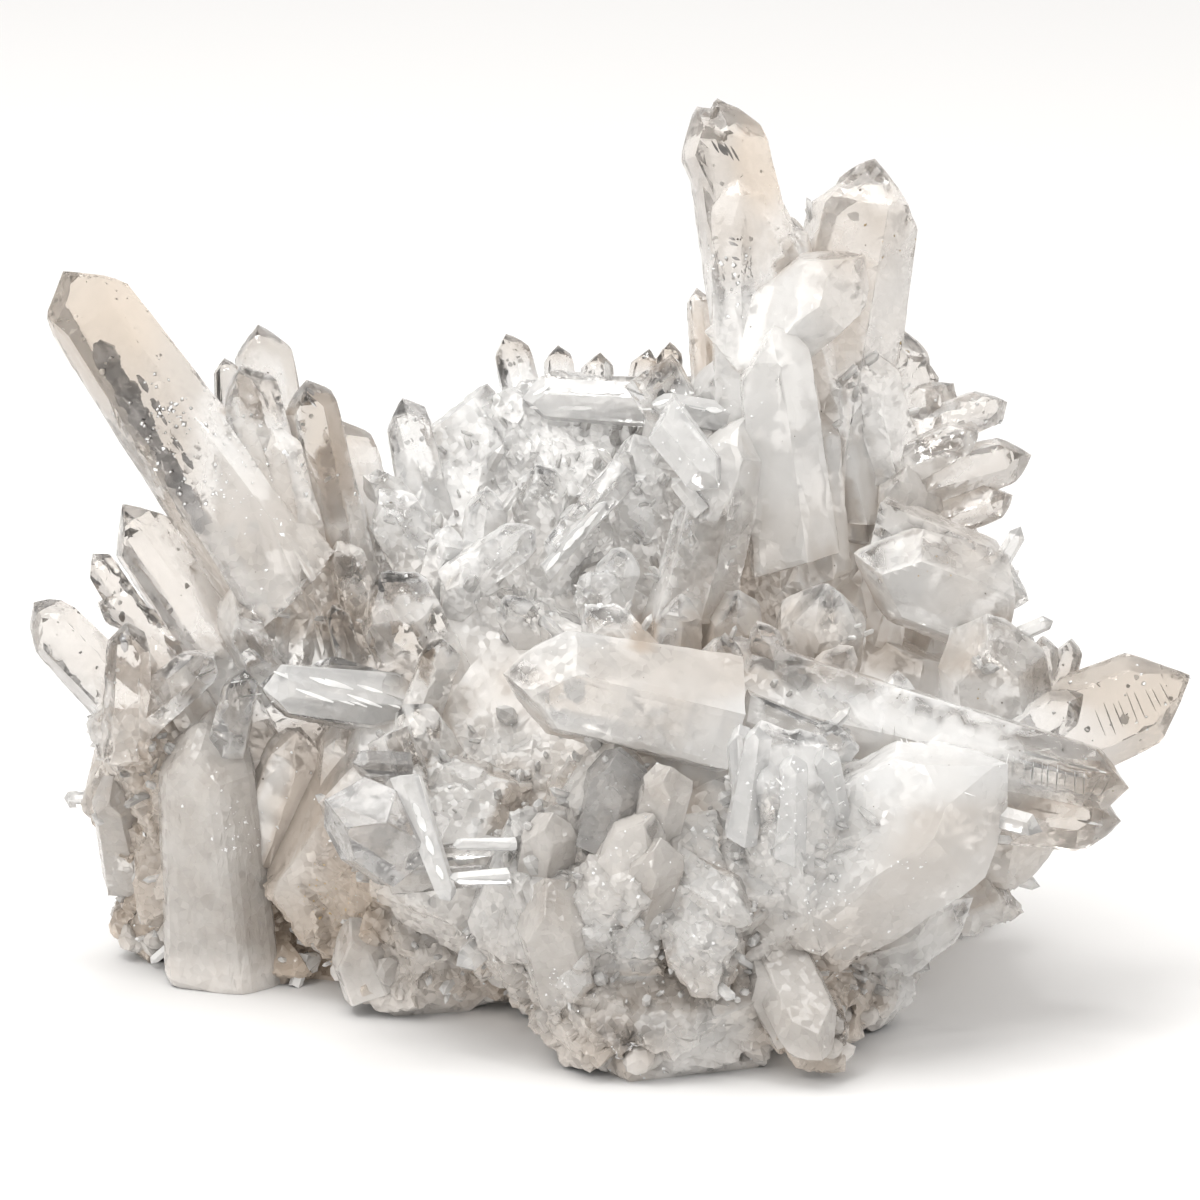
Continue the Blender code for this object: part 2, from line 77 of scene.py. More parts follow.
lens = bpy.data.cameras.new("camera")
lens.sensor_width = 36
lens.lens = lens.sensor_width * DISTANCE / PICTURE_WIDTH
lens.clip_end = 50
camera = bpy.data.objects.new("camera", lens)
toward_view = Vector((0, -math.cos(LOOK_DOWN), math.sin(LOOK_DOWN)))
camera.location = AIM + SHIFT + toward_view * DISTANCE
camera.rotation_euler = (math.pi / 2 - LOOK_DOWN, 0, 0)
bpy.context.scene.collection.objects.link(camera)
bpy.context.scene.camera = camera
print("camera at, mm:", [round(value / MM) for value in camera.location])

# %% How light is followed through the crystals
scene = bpy.context.scene
scene.view_settings.view_transform = "Standard"
scene.cycles.max_bounces = 8
scene.cycles.transmission_bounces = 6
scene.cycles.diffuse_bounces = 2
scene.cycles.glossy_bounces = 2
scene.cycles.caustics_reflective = False
scene.cycles.use_fast_gi = True
scene.cycles.fast_gi_method = "REPLACE"
scene.cycles.ao_bounces_render = 2
scene.cycles.use_light_tree = False
print("light passes", scene.cycles.transmission_bounces, "faces at most")

# %% [markdown]
# ## Floor and light
# The real cluster was photographed on a white table in wide, soft light, so its shadow is faint and
# the table nearly as bright as the air behind. One big plane is the table. A room of lamps would do,
# but clear crystal shows everything round it, so the light is a bright sky that is darker low down
# behind the viewer, with two large soft panels. The dark part is what gives glass its grey edges.

# %% Floor
FLOOR_SIDE = 6.0
floor_form = bmesh.new()
bmesh.ops.create_grid(floor_form, x_segments=1, y_segments=1, size=FLOOR_SIDE / 2)
floor_mesh = bpy.data.meshes.new("floor")
floor_form.to_mesh(floor_mesh)
floor_form.free()
floor = bpy.data.objects.new("floor", floor_mesh)
bpy.context.scene.collection.objects.link(floor)
floor_paint = bpy.data.materials.new("white table")
floor_paint.use_nodes = True
floor_shader = floor_paint.node_tree.nodes["Principled BSDF"]
floor_shader.inputs["Base Color"].default_value = (0.87, 0.865, 0.86, 1)
floor_shader.inputs["Roughness"].default_value = 0.7
floor_shader.inputs["Specular IOR Level"].default_value = 0.1
floor_mesh.materials.append(floor_paint)
print("floor is", FLOOR_SIDE, "m wide")

# %% Sky
sky = bpy.data.worlds.new("soft room")
sky.use_nodes = True
bpy.context.scene.world = sky
sky_nodes, sky_links = sky.node_tree.nodes, sky.node_tree.links
direction = sky_nodes.new("ShaderNodeTexCoord")
split = sky_nodes.new("ShaderNodeSeparateXYZ")
fade = sky_nodes.new("ShaderNodeMapRange")
fade.interpolation_type = "SMOOTHSTEP"
fade.inputs["From Min"].default_value = -0.75
fade.inputs["From Max"].default_value = 0.35
fade.inputs["To Min"].default_value = 0.60
fade.inputs["To Max"].default_value = 0.90
sky_links.new(direction.outputs["Generated"], split.inputs[0])
sky_links.new(split.outputs["Y"], fade.inputs["Value"])
sky_links.new(fade.outputs[0], sky_nodes["Background"].inputs["Strength"])
sky_nodes["Background"].inputs["Color"].default_value = (1, 0.99, 0.98, 1)
sky.light_settings.distance = 5 * MM
print("sky fades from", fade.inputs["To Max"].default_value, "to", fade.inputs["To Min"].default_value)


# %% Soft panels
def soft_panel(name, place, aim, width, power):
    """A square area lamp that points at a place."""
    lamp = bpy.data.lights.new(name, "AREA")
    lamp.size = width
    lamp.energy = power
    lamp.color = (1, 0.99, 0.97)
    panel = bpy.data.objects.new(name, lamp)
    panel.location = place
    panel.rotation_euler = (Vector(aim) - Vector(place)).to_track_quat("-Z", "Y").to_euler()
    bpy.context.scene.collection.objects.link(panel)


soft_panel("top panel", (-0.3, -0.1, 1.3), (0, 0, 0.06), 0.9, 11)
soft_panel("left panel", (-1.1, -0.7, 0.6), (0, 0, 0.06), 0.7, 3.2)
soft_panel("small bright panel", (-0.5, -0.75, 0.95), (0, 0, 0.06), 0.13, 1.1)
soft_panel("small right panel", (0.7, -0.6, 0.8), (0, 0, 0.06), 0.13, 0.9)
soft_panel("small high panel", (0.1, 0.3, 1.2), (0, 0, 0.06), 0.13, 0.9)

# %% A short way to wire nodes
def add_node(tree, kind, settings=None, **inputs):
    """A new node. Names of its inputs are written with _ for a space, and take values or sockets."""
    made = tree.nodes.new(kind)
    for key, value in (settings or {}).items():
        setattr(made, key, value)
    for key, value in inputs.items():
        name = key.replace("_", " ")
        socket = made.inputs[int(name[1:])] if name[0] == "i" and name[1:].isdigit() else made.inputs[name]
        if isinstance(value, bpy.types.NodeSocket):
            tree.links.new(value, socket)
        else:
            socket.default_value = value
    return made


def add_math(tree, operation, first, second=0.0, third=0.0):
    """One sum on two or three numbers or sockets."""
    return add_node(tree, "ShaderNodeMath", {"operation": operation}, i0=first, i1=second, i2=third).outputs[0]


def add_range(tree, value, low_in, high_in, low_out, high_out):
    """Maps one range of numbers to another, smoothly."""
    return add_node(
        tree, "ShaderNodeMapRange", {"interpolation_type": "SMOOTHSTEP"}, Value=value,
        i1=low_in, i2=high_in, i3=low_out, i4=high_out,
    ).outputs[0]


def add_mix(tree, share, first, second):
    """Mixes two colours by a share."""
    made = add_node(tree, "ShaderNodeMix", {"data_type": "RGBA"}, i0=share, i6=first, i7=second)
    return made.outputs[2]


def add_noise(tree, place, scale, detail=3.0, rough=0.5, twist=0.0):
    """Soft clouds."""
    return add_node(
        tree, "ShaderNodeTexNoise", Vector=place, Scale=scale, Detail=detail, Roughness=rough, Distortion=twist
    ).outputs["Fac"]


print("helpers for materials are ready")

# %% [markdown]
# ## The surface to work on
# The solid cluster has the crystals' flat faces and nothing smaller. Everything that follows, the
# finer skin, the crust and the cracks inside, asks questions of that surface: where is it, which way
# does it face, how deep in a hollow does a place lie, and how thick is the quartz behind it. A tree
# of its triangles answers by following rays, which is quicker than any search through the mesh.

# %% The surface of the cluster
chance = np.random.default_rng(7)
corners = np.array([vert.co for vert in cluster.data.vertices])
triangles = np.array([list(face.vertices) for face in cluster.data.polygons])
edge_a = corners[triangles[:, 1]] - corners[triangles[:, 0]]
edge_b = corners[triangles[:, 2]] - corners[triangles[:, 0]]
across_faces = np.cross(edge_a, edge_b)
areas = np.linalg.norm(across_faces, axis=1) / 2
surface = BVHTree.FromPolygons(corners.tolist(), triangles.tolist())
print("surface, cm2:", round(areas.sum() * 1e4))


def places_on_surface(count):
    """Random places on the cluster, spread evenly over its area, with the way each one faces."""
    faces = chance.choice(len(triangles), count, p=areas / areas.sum())
    a, b = chance.random(count), chance.random(count)
    a, b = np.where(a + b > 1, 1 - a, a), np.where(a + b > 1, 1 - b, b)
    where = corners[triangles[faces, 0]] + edge_a[faces] * a[:, None] + edge_b[faces] * b[:, None]
    facing = across_faces[faces] / (2 * areas[faces][:, None])
    return where, facing


# %% How open a place is, and how thick the quartz behind it
VIEWS_OUT = 7


def openness(where, facing, reach):
    """The share of views out of a place that nothing shuts within the reach."""
    normal = Vector(facing)
    start = Vector(where) + normal * 0.2 * MM
    side = normal.orthogonal().normalized()
    free = 0
    for step in range(VIEWS_OUT):
        turn = Matrix.Rotation(step * math.tau / VIEWS_OUT, 3, normal)
        view = (normal * 0.75 + turn @ side).normalized()
        free += surface.ray_cast(start, view, reach)[0] is None
    return free / VIEWS_OUT


def thickness(where, facing, most):
    """How far it is through the quartz to the other side, straight in."""
    inward = -Vector(facing)
    hit = surface.ray_cast(Vector(where) + inward * 0.1 * MM, inward, most)
    return most if hit[0] is None else hit[3]


print("open at the top:", openness((0, 0, high.z), (0, 0, 1), 20 * MM))

# %% [markdown]
# ## A finer skin
# Real quartz faces are not flat: they carry growth steps, chips and small tilted fields, and where
# the root broke from the rock the surface is rough like crushed ice. Bump in the material would show
# this from the front, but not along the outline or in the exported mesh. So the solid is copied, its
# long edges are halved until the triangles are about a millimetre long, and the new corners are moved
# a little along their normals. Each corner also keeps what it knows about its place, for the finish.

# %% Patches that differ from their neighbours, measured in the front view
# In the last column a patch paints light where it is above 0 and paints shade where it is below 0, as in the left
# recess, the dark hole and the foot; there the warm column paints that shade beige.
Patch = namedtuple("Patch", "name across up wide high clear rough warm lit", defaults=(0.0,))
PATCHES = (
    Patch("tall left", -84, 104, 16, 26, 0.6, -0.4, 0.3),
    Patch("tall left tip", -86, 108, 9, 12, 0.0, 0.0, 1.0),
    Patch("tall left frost high", -83, 104, 5, 6, 0.0, 0.7, 0.0),
    Patch("tall left frost", -77, 95, 5, 7, 0.0, 0.7, 0.2),
    Patch("tall left frost low", -72, 86, 5, 7, 0.0, 0.6, 0.3),
    Patch("milky twins", -60, 88, 8, 14, -0.1, 0.1, 0.0),
    Patch("warm spear", -55, 102, 8, 9, 0.3, -0.3, 0.5),
    Patch("warm stub", -44, 88, 6, 8, 0.2, -0.2, 0.8),
    Patch("left crystals", -86, 64, 16, 12, 0.4, -0.3, 0.5, 0.35),
    Patch("lying clear", -52, 48, 12, 6, 0.2, -0.8, -0.2, 0.4),
    Patch("front clear", -50, 28, 10, 13, 0.35, -0.9, -0.2),
    Patch("hanging clear", -27, 15, 7, 11, 0.3, -0.5, 0.0, 0.4),
    Patch("etched face", -66, 20, 12, 26, -0.2, 0.15, 0.1),
    Patch("grey top", -66, 50, 10, 8, 0.2, -0.1, 0.0),
    Patch("left recess", -49, 14, 9, 20, -0.3, 0.4, 0.65, -0.6),
    Patch("left rim", -79, 22, 7, 26, 0.0, 0.3, 0.6),
    Patch("central grey", -36, 60, 9, 10, 0.25, -0.1, 0.0),
    Patch("frosted middle", -12, 76, 24, 18, -0.1, 0.5, -0.5, 1.0),
    Patch("ridge tips", -4, 104, 18, 6, 0.2, -0.2, 0.8),
    Patch("glass ridge", 0, 94, 20, 5, 0.1, -0.1, -0.3, 0.5),
    Patch("tallest", 22, 132, 8, 16, 0.2, -0.1, 0.25),
    Patch("tallest right side", 26, 137, 4, 9, 0.0, 0.0, 1.2),
    Patch("second tall", 43, 126, 8, 9, 0.15, -0.1, 0.5),
    Patch("milky tower", 26, 95, 8, 16, -0.1, -0.1, -0.3),
    Patch("crossing light", 38, 114, 9, 8, -0.1, -0.1, -0.3),
    Patch("right fingers", 62, 84, 12, 16, 0.1, -0.1, 0.35, 0.2),
    Patch("centre milky", -4, 50, 18, 9, -0.05, -0.2, -0.1, -0.2),
    Patch("right milky", 54, 66, 18, 8, -0.05, -0.2, -0.2, 0.1),
    Patch("valley", 32, 52, 14, 8, 0.0, 0.2, 0.4),
    Patch("right clear", 86, 42, 14, 10, 0.6, -0.4, 0.7, -0.3),
    Patch("dark hole", 6, 56, 1.8, 2.4, -0.3, 0.2, 0.5, -1.4),
    Patch("long clear", 50, 38, 30, 8, -0.1, -0.7, -0.5, 0.9),
    Patch("long clear end", 80, 31, 12, 8, 0.25, -0.6, 0.0),
    Patch("fracture", 33, 28, 12, 14, 0.1, 0.9, -0.3, 0.4),
    Patch("massive right", 50, 22, 22, 16, -0.05, -0.2, -0.1),
    Patch("front wall", -10, 12, 26, 22, -0.1, 0.5, -0.1),
    Patch("foot", 8, -10, 36, 10, -0.1, 0.3, 0.1, -0.25),
    Patch("lower left rim", -78, 12, 9, 20, -0.1, 0.5, 0.3, -0.2),
)
VIEW_UP = Vector((0, math.sin(LOOK_DOWN), math.cos(LOOK_DOWN)))
print(len(PATCHES), "patches")


def front_view(place):
    """Where a place shows in the front view, in mm: across and up from the foot's middle."""
    seen = place - camera.location
    depth = -seen.dot(toward_view)
    return (seen.x / depth * DISTANCE + AIM.x) / MM, seen.dot(VIEW_UP) / depth * DISTANCE / MM + 61.5


def patch_change(place, facing):
    """What the patches add to the clearness, roughness and warmth of a place on the front, and the painted light they
    add, which is painted shade where it is below 0.
    """
    clearer = rougher = warmer = brighter = 0.0
    if facing.dot(toward_view) < -0.25 or place.y > 45 * MM:
        return clearer, rougher, warmer, brighter
    across, up = front_view(place)
    for patch in PATCHES:
        away = ((across - patch.across) / patch.wide) ** 2 + ((up - patch.up) / patch.high) ** 2
        if away < 2.2:
            share = max(0.0, min(1.0, (2.2 - away) / 1.5))
            clearer += patch.clear * share
            rougher += patch.rough * share
            warmer += patch.warm * share
            brighter += patch.lit * share
    return clearer, rougher, warmer, brighter


# %% What a place knows about itself
THICK, THIN = 24 * MM, 8 * MM


def smooth_step(value, low_end, high_end):
    """0 below the low end, 1 above the high end, smooth between."""
    share = max(0.0, min(1.0, (value - low_end) / (high_end - low_end)))
    return share * share * (3 - 2 * share)


def roughness_of(place, facing):
    """How broken and frosted the surface is at a place, 0 to 1, more so near the floor."""
    clouds = noise.noise(place * 60) * 0.6 + noise.noise(place * 170) * 0.3
    thin = 1 - smooth_step(thickness(place, facing, THICK), THIN, THICK)
    low_down = 1 - smooth_step(place.z, 6 * MM, 50 * MM)
    return max(0.0, min(1.0, 0.2 + 0.5 * low_down - 0.3 * thin + clouds + patch_change(place, facing)[1]))


def facts_of(place, facing):
    """How clear, rough and warm in colour the quartz is at a place, how deep in a hollow it lies, which paints shade
    there, and how much painted light it gets, each 0 to 1.
    """
    open_share = openness(place, facing, 24 * MM)
    thin = 1 - smooth_step(thickness(place, facing, THICK), THIN, THICK)
    clouds = noise.noise(place * 60) * 0.5 + noise.noise(place * 170) * 0.25
    clearer, _, warmer, brighter = patch_change(place, facing)
    low_down = 1 - smooth_step(place.z, 0, 24 * MM)
    clouds += 0.5 * noise.noise(place * 260)
    clear = 0.15 + 0.55 * thin * smooth_step(open_share, 0.2, 0.9) + 0.35 * clouds + clearer
    rough = roughness_of(place, facing)
    # the quartz's own warm tint, with a little painted shade low down near the floor
    warm = 0.12 + 0.5 * noise.noise(place * 35) + 0.6 * warmer + 0.12 * low_down
    # painted shade: darker where the place is shut in and low down near the floor, less where painted light falls, and
    # varied at random
    deep = 1 - open_share - brighter + 0.2 * low_down + 0.45 * noise.noise(place * 70)
    return [max(0.0, min(1.0, value)) for value in (clear, rough, deep, warm, brighter)]


# %% The copy and its smaller triangles
SPLIT_LIMITS = (6 * MM, 3 * MM, 2.2 * MM)
FINE_LIMIT = 1.25 * MM
FLAT = math.radians(0.5)


def make_triangles(form):
    """Cuts every face into triangles and puts them in an order that is the same on each run."""
    bmesh.ops.triangulate(form, faces=form.faces)
    form.verts.index_update()
    count = len(form.verts)
    for parts in (form.edges, form.faces):
        parts.sort(key=lambda part: sum(
            vert.index * count ** power for power, vert in enumerate(sorted(part.verts, key=lambda vert: vert.index))))


def halve(form, edges):
    """Halves these edges, makes triangles again and gives the flat ones a better shape."""
    bmesh.ops.subdivide_edges(form, edges=edges, cuts=1)
    make_triangles(form)
    inner = [edge for edge in form.edges if edge.is_manifold and edge.calc_face_angle() < FLAT]
    bmesh.ops.beautify_fill(form, faces=form.faces, edges=inner, method="ANGLE")


skin_form = bmesh.new()
skin_form.from_mesh(cluster.data)
bmesh.ops.remove_doubles(skin_form, verts=skin_form.verts, dist=1e-6)
bmesh.ops.dissolve_limit(skin_form, angle_limit=FLAT, verts=skin_form.verts, edges=skin_form.edges)
make_triangles(skin_form)
for limit in SPLIT_LIMITS:
    halve(skin_form, [edge for edge in skin_form.edges if edge.calc_length() > limit])
    print("edges over", round(limit / MM, 1), "mm halved:", len(skin_form.faces), "faces")
skin_form.normal_update()
rough_corner = {vert: roughness_of(vert.co, vert.normal) for vert in skin_form.verts}
rough_edges = [edge for edge in skin_form.edges
               if edge.calc_length() > FINE_LIMIT and min(rough_corner[vert] for vert in edge.verts) > 0.45]
halve(skin_form, rough_edges)
print("rough edges halved once more:", len(skin_form.faces), "faces")

# %% What each corner keeps
# clear, rough and warm belong to the quartz, with a little painted shade in warm near the floor; deep paints shade in
# the hollows and near the floor; the last fact paints light
FACTS = ("clear", "rough", "deep", "warm", "lit")
skin_form.verts.ensure_lookup_table()
skin_form.normal_update()
facts = {name: np.zeros(len(skin_form.verts)) for name in FACTS + ("ridge",)}
for vert in skin_form.verts:
    for name, value in zip(FACTS, facts_of(vert.co, vert.normal)):
        facts[name][vert.index] = value
    angles = [edge.calc_face_angle_signed() for edge in vert.link_edges if edge.is_manifold]
    facts["ridge"][vert.index] = max(0.0, max(angles) - 0.25)
print({name: round(float(values.mean()), 2) for name, values in facts.items()})

# %% Chips, steps and worn edges
STEPS = 7.0 * MM, 0.20
CHIPS = 2.1 * MM, 0.38
LUMPS = 11.0 * MM, 0.27
WORN = 0.22 * MM
SHARP = math.radians(9)


def tilted_cell(place, size, slope):
    """How far the surface stands out here, if each cell of a cell pattern is a small face tilted its own way."""
    middle = noise.voronoi(place / size)[1][0]
    tilt = noise.noise_vector(middle * 7.3).normalized()
    return slope * size * max(-0.6, min(0.6, (place / size - middle).dot(tilt)))


moves = []
for vert in skin_form.verts:
    rough = facts["rough"][vert.index]
    floor_free = smooth_step(vert.co.z, 0.3 * MM, 2.5 * MM)
    near_floor = 1 - smooth_step(vert.co.z, 4 * MM, 14 * MM)
    fine = smooth_step(noise.noise(vert.co * 90) + rough, 0.35, 1.0)
    low_lumps = 1 - smooth_step(vert.co.z, 8 * MM, 30 * MM)
    move = tilted_cell(vert.co, *STEPS) * (0.06 + 0.8 * rough + 0.5 * near_floor)
    move += tilted_cell(vert.co, *LUMPS) * low_lumps * smooth_step(rough, 0.3, 0.7)
    move = (move + tilted_cell(vert.co, *CHIPS) * (0.07 + 0.93 * fine)) * floor_free
    move -= WORN * min(1.0, facts["ridge"][vert.index]) * floor_free
    moves.append(vert.normal * move)
for vert, move in zip(skin_form.verts, moves):
    vert.co += move
skin_mesh = bpy.data.meshes.new("quartz_skin")
skin_form.to_mesh(skin_mesh)
skin_form.free()
skin_mesh.polygons.foreach_set("use_smooth", [True] * len(skin_mesh.polygons))
skin_mesh.set_sharp_from_angle(angle=SHARP)
for name, values in facts.items():
    skin_mesh.attributes.new(name, "FLOAT", "POINT").data.foreach_set("value", values.astype(np.float32))
skin = bpy.data.objects.new("quartz_skin", skin_mesh)
bpy.context.scene.collection.objects.link(skin)
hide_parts("quartz_cluster")
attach(skin, "root")
print("skin:", len(skin_mesh.polygons), "faces; most moved, mm:", round(max(move.length for move in moves) / MM, 2))

# %% [markdown]
# ## Quartz
# Quartz lets light through and bends it by 1.544. At the root the crystals are milky, full of tiny
# bubbles and healed cracks, and where they are thin they turn to clear glass. Painting each crystal
# its own way is possible, but the corners already know how thin and open their place is, so one
# material reads that and goes from milky, rough and matt to clear, smooth and glossy. Deep between
# the crystals and low down near the floor the milky quartz is painted darker and beige: painted
# shade. Where the patches ask for it, it is painted near white: painted light.

# %% The quartz itself
def read(tree, name):
    """What the skin's corners know, under this name."""
    return add_node(tree, "ShaderNodeAttribute", {"attribute_name": name}).outputs["Fac"]


MILK = (0.81, 0.795, 0.775, 1)
# near white, for painted light
PAINTED_LIGHT_WHITE = (0.96, 0.955, 0.945, 1)
# darker beige, for painted shade in the hollows and near the floor
SHADED = (0.60, 0.535, 0.475, 1)
WARM = (0.61, 0.47, 0.345, 1)
GLASSY = (0.45, 0.405, 0.36, 1)
PALE_GLASS = (0.90, 0.89, 0.87, 1)
GREY_GLASS = (0.50, 0.485, 0.47, 1)
WHITE = (0.98, 0.98, 0.98, 1)


def add_facets(tree, place, scale):
    """Small flat fields, each tilted its own way: the height of the surface and a number for each field."""
    cells = add_node(tree, "ShaderNodeTexVoronoi", Vector=place, Scale=scale)
    away = add_node(tree, "ShaderNodeVectorMath", {"operation": "SUBTRACT"}, i0=place, i1=cells.outputs["Position"])
    tilt = add_node(tree, "ShaderNodeVectorMath", {"operation": "SUBTRACT"}, i0=cells.outputs["Color"], i1=(0.5, 0.5, 0.5))
    rise = add_node(tree, "ShaderNodeVectorMath", {"operation": "DOT_PRODUCT"}, i0=away.outputs[0], i1=tilt.outputs[0])
    own = add_node(tree, "ShaderNodeSeparateColor", i0=cells.outputs["Color"]).outputs[0]
    return rise.outputs["Value"], own


def quartz(name, facts, through_low, through_high, glass):
    """Quartz, milky and matt or clear and glossy: by five fixed facts, or else by those that the skin keeps."""
    made = bpy.data.materials.new(name)
    made.use_nodes = True
    tree = made.node_tree
    shader = tree.nodes["Principled BSDF"]
    clear, rough, deep, warm, lit = facts or (read(tree, fact) for fact in FACTS)
    place = add_node(tree, "ShaderNodeTexCoord").outputs["Object"]
    facet_rise, facet_own = add_facets(tree, place, 750.0)
    if facts:
        clouds = add_math(tree, "SUBTRACT", add_noise(tree, place, 110.0, 2.0), 0.5)
        clear = add_math(tree, "MULTIPLY_ADD", clouds, 0.5, clear)
        deep = add_math(tree, "MULTIPLY_ADD", clouds, 0.9, deep)
    change = add_math(tree, "MULTIPLY_ADD", facet_own, 0.16, -0.08)
    above = add_node(tree, "ShaderNodeSeparateXYZ", i0=place).outputs["Z"]
    inside = add_node(tree, "ShaderNodeNewGeometry").outputs["Backfacing"]
    through = add_range(tree, add_math(tree, "ADD", clear, change), 0.1, 0.85, through_low, through_high)
    through = add_math(tree, "MULTIPLY", through, add_range(tree, above, 1 * MM, 9 * MM, 0.0, 1.0))
    through = add_math(tree, "MAXIMUM", through, add_math(tree, "MULTIPLY", inside, 0.9))
    tree.links.new(through, shader.inputs["Transmission Weight"])
    # painted shade: the milk turns darker and beige deep in the hollows
    body = add_mix(tree, add_range(tree, deep, 0.15, 0.95, 0.0, 1.0), MILK, SHADED)
    body = add_mix(tree, add_range(tree, clear, 0.45, 0.95, 0.0, 1.0), body, glass)
    body = add_mix(tree, add_math(tree, "MULTIPLY", warm, 0.85), body, WARM)
    # painted light: the colour turns near white where the last fact asks for it
    body = add_mix(tree, lit, body, PAINTED_LIGHT_WHITE)
    tree.links.new(add_mix(tree, inside, body, WHITE), shader.inputs["Base Color"])
    matt = add_math(tree, "MULTIPLY_ADD", add_math(tree, "SUBTRACT", rough, clear), 0.12, 0.15)
    matt = add_math(tree, "MULTIPLY_ADD", change, 0.5, matt)
    tree.links.new(add_math(tree, "MAXIMUM", matt, 0.04), shader.inputs["Roughness"])
    pits = add_node(tree, "ShaderNodeBump", Strength=add_range(tree, rough, 0.05, 0.8, 0.07, 0.7), Distance=1.0, Height=facet_rise)
    tree.links.new(pits.outputs[0], shader.inputs["Normal"])
    shader.inputs["IOR"].default_value = 1.544
    tint = add_node(tree, "ShaderNodeVolumeAbsorption", Color=(0.95, 0.90, 0.84, 1), Density=9.0)
    tree.links.new(tint.outputs[0], tree.nodes["Material Output"].inputs["Volume"])
    return made


skin_mesh.materials.append(quartz("quartz", None, 0.36, 0.97, GLASSY))
print("the skin wears:", skin_mesh.materials[0].name)

# %% [markdown]
# ## Small crystals between the large ones
# Wherever there was room between the big crystals, a crust of small ones grew, most of them a few
# millimetres long. They could be placed one by one, or by a particle system, but only real mesh can
# be kept, so here a few small crystals are made by hand and then copied onto the cluster's surface.
# Places are drawn at random over the surface, and a place is kept where it lies in a hollow, which
# is measured by looking out from it in several directions and counting how often the view is shut.

# %% A few small crystals as patterns
def small_crystal(seed):
    """A short six-sided crystal on its root, one unit long, with an uneven point."""
    pick = random.Random(seed)
    form = bmesh.new()
    bmesh.ops.create_cone(form, cap_ends=True, segments=6, radius1=0.16, radius2=0.15, depth=0.72)
    bmesh.ops.translate(form, verts=form.verts, vec=(0, 0, 0.36))
    top = max(form.faces, key=lambda face: face.calc_center_median().z)
    tip = bmesh.ops.poke(form, faces=[top], offset=0.14)["verts"][0]
    tip.co += Vector((pick.uniform(-0.06, 0.06), pick.uniform(-0.06, 0.06), 0))
    for vert in form.verts:
        if vert is not tip and vert.co.z > 0.5:
            vert.co.z += pick.uniform(-0.09, 0.05)
    bmesh.ops.scale(form, vec=(1, pick.uniform(0.7, 1.0), 1), verts=form.verts)
    bmesh.ops.triangulate(form, faces=form.faces)
    bmesh.ops.recalc_face_normals(form, faces=form.faces)
    pattern = np.array([vert.co for vert in form.verts]), np.array([[v.index for v in f.verts] for f in form.faces])
    form.free()
    return pattern


crystal_patterns = [small_crystal(seed) for seed in range(8)]
print("faces of one small crystal:", len(crystal_patterns[0][1]))


# %% Copies joined into one mesh
def join_copies(name, patterns, spots, finish):
    """One mesh of many copies. A spot holds a place, an axis, a length, a width and a turn."""
    points, faces, count = [], [], 0
    for number, (where, axis, length, width, turn) in enumerate(spots):
        shape, sides = patterns[number % len(patterns)]
        axis = Vector(axis).normalized()
        frame_of = axis.to_track_quat("Z", "Y").to_matrix() @ Matrix.Rotation(turn, 3, "Z")
        sized = shape * np.array([width, width, length])
        points.append(sized @ np.array(frame_of).T + np.array(where))
        faces.append(sides + count)
        count += len(shape)
    points = np.concatenate(points)
    points[:, 2] = np.maximum(points[:, 2], 0.05 * MM)
    mesh = bpy.data.meshes.new(name)
    mesh.from_pydata(points.tolist(), [], np.concatenate(faces).tolist())
    mesh.materials.append(finish)
    piece = bpy.data.objects.new(name, mesh)
    bpy.context.scene.collection.objects.link(piece)
    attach(piece, "root")
    print(name, "has", len(spots), "pieces and", len(mesh.polygons), "faces")
    return piece


# %% The crust of small crystals
def crust_spots(count, reach, most_open, length_low, length_high):
    """Spots in the hollows of the cluster, with axes between straight out and away from the heart."""
    spots = []
    for where, facing in zip(*places_on_surface(count)):
        if facing[2] < -0.6 or where[2] < 2.5 * MM:
            continue
        open_share = openness(where, facing, reach)
        if not 0.15 < open_share <= most_open:
            continue
        if facts_of(Vector(where), Vector(facing))[1] < chance.uniform(0.2, 0.6):
            continue
        away = (Vector(where) - HEART).normalized()
        axis = Vector(facing) * 0.8 + away * 0.8 + Vector(chance.normal(0, 0.35, 3))
        if axis.dot(Vector(facing)) < 0.2:
            continue
        length = chance.uniform(length_low, length_high) * (0.6 + 0.4 * open_share)
        spots.append((np.array(where) - np.array(axis.normalized()) * length * 0.3, axis, length,
                      length * chance.uniform(0.7, 1.3), chance.uniform(0, math.tau)))
    return spots


HEART = Vector((0, 0, 26)) * MM
# the last fixed fact is painted light, which makes the crust lighter than its place
crust_quartz = quartz("crust quartz", (0.45, 0.1, 0.15, 0.08, 0.55), 0.2, 0.8, PALE_GLASS)
join_copies("crust_small", crystal_patterns, crust_spots(5000, 22 * MM, 0.72, 2.0 * MM, 5.5 * MM), crust_quartz)
join_copies("crust_larger", crystal_patterns, crust_spots(900, 30 * MM, 0.86, 5.0 * MM, 10.0 * MM), crust_quartz)


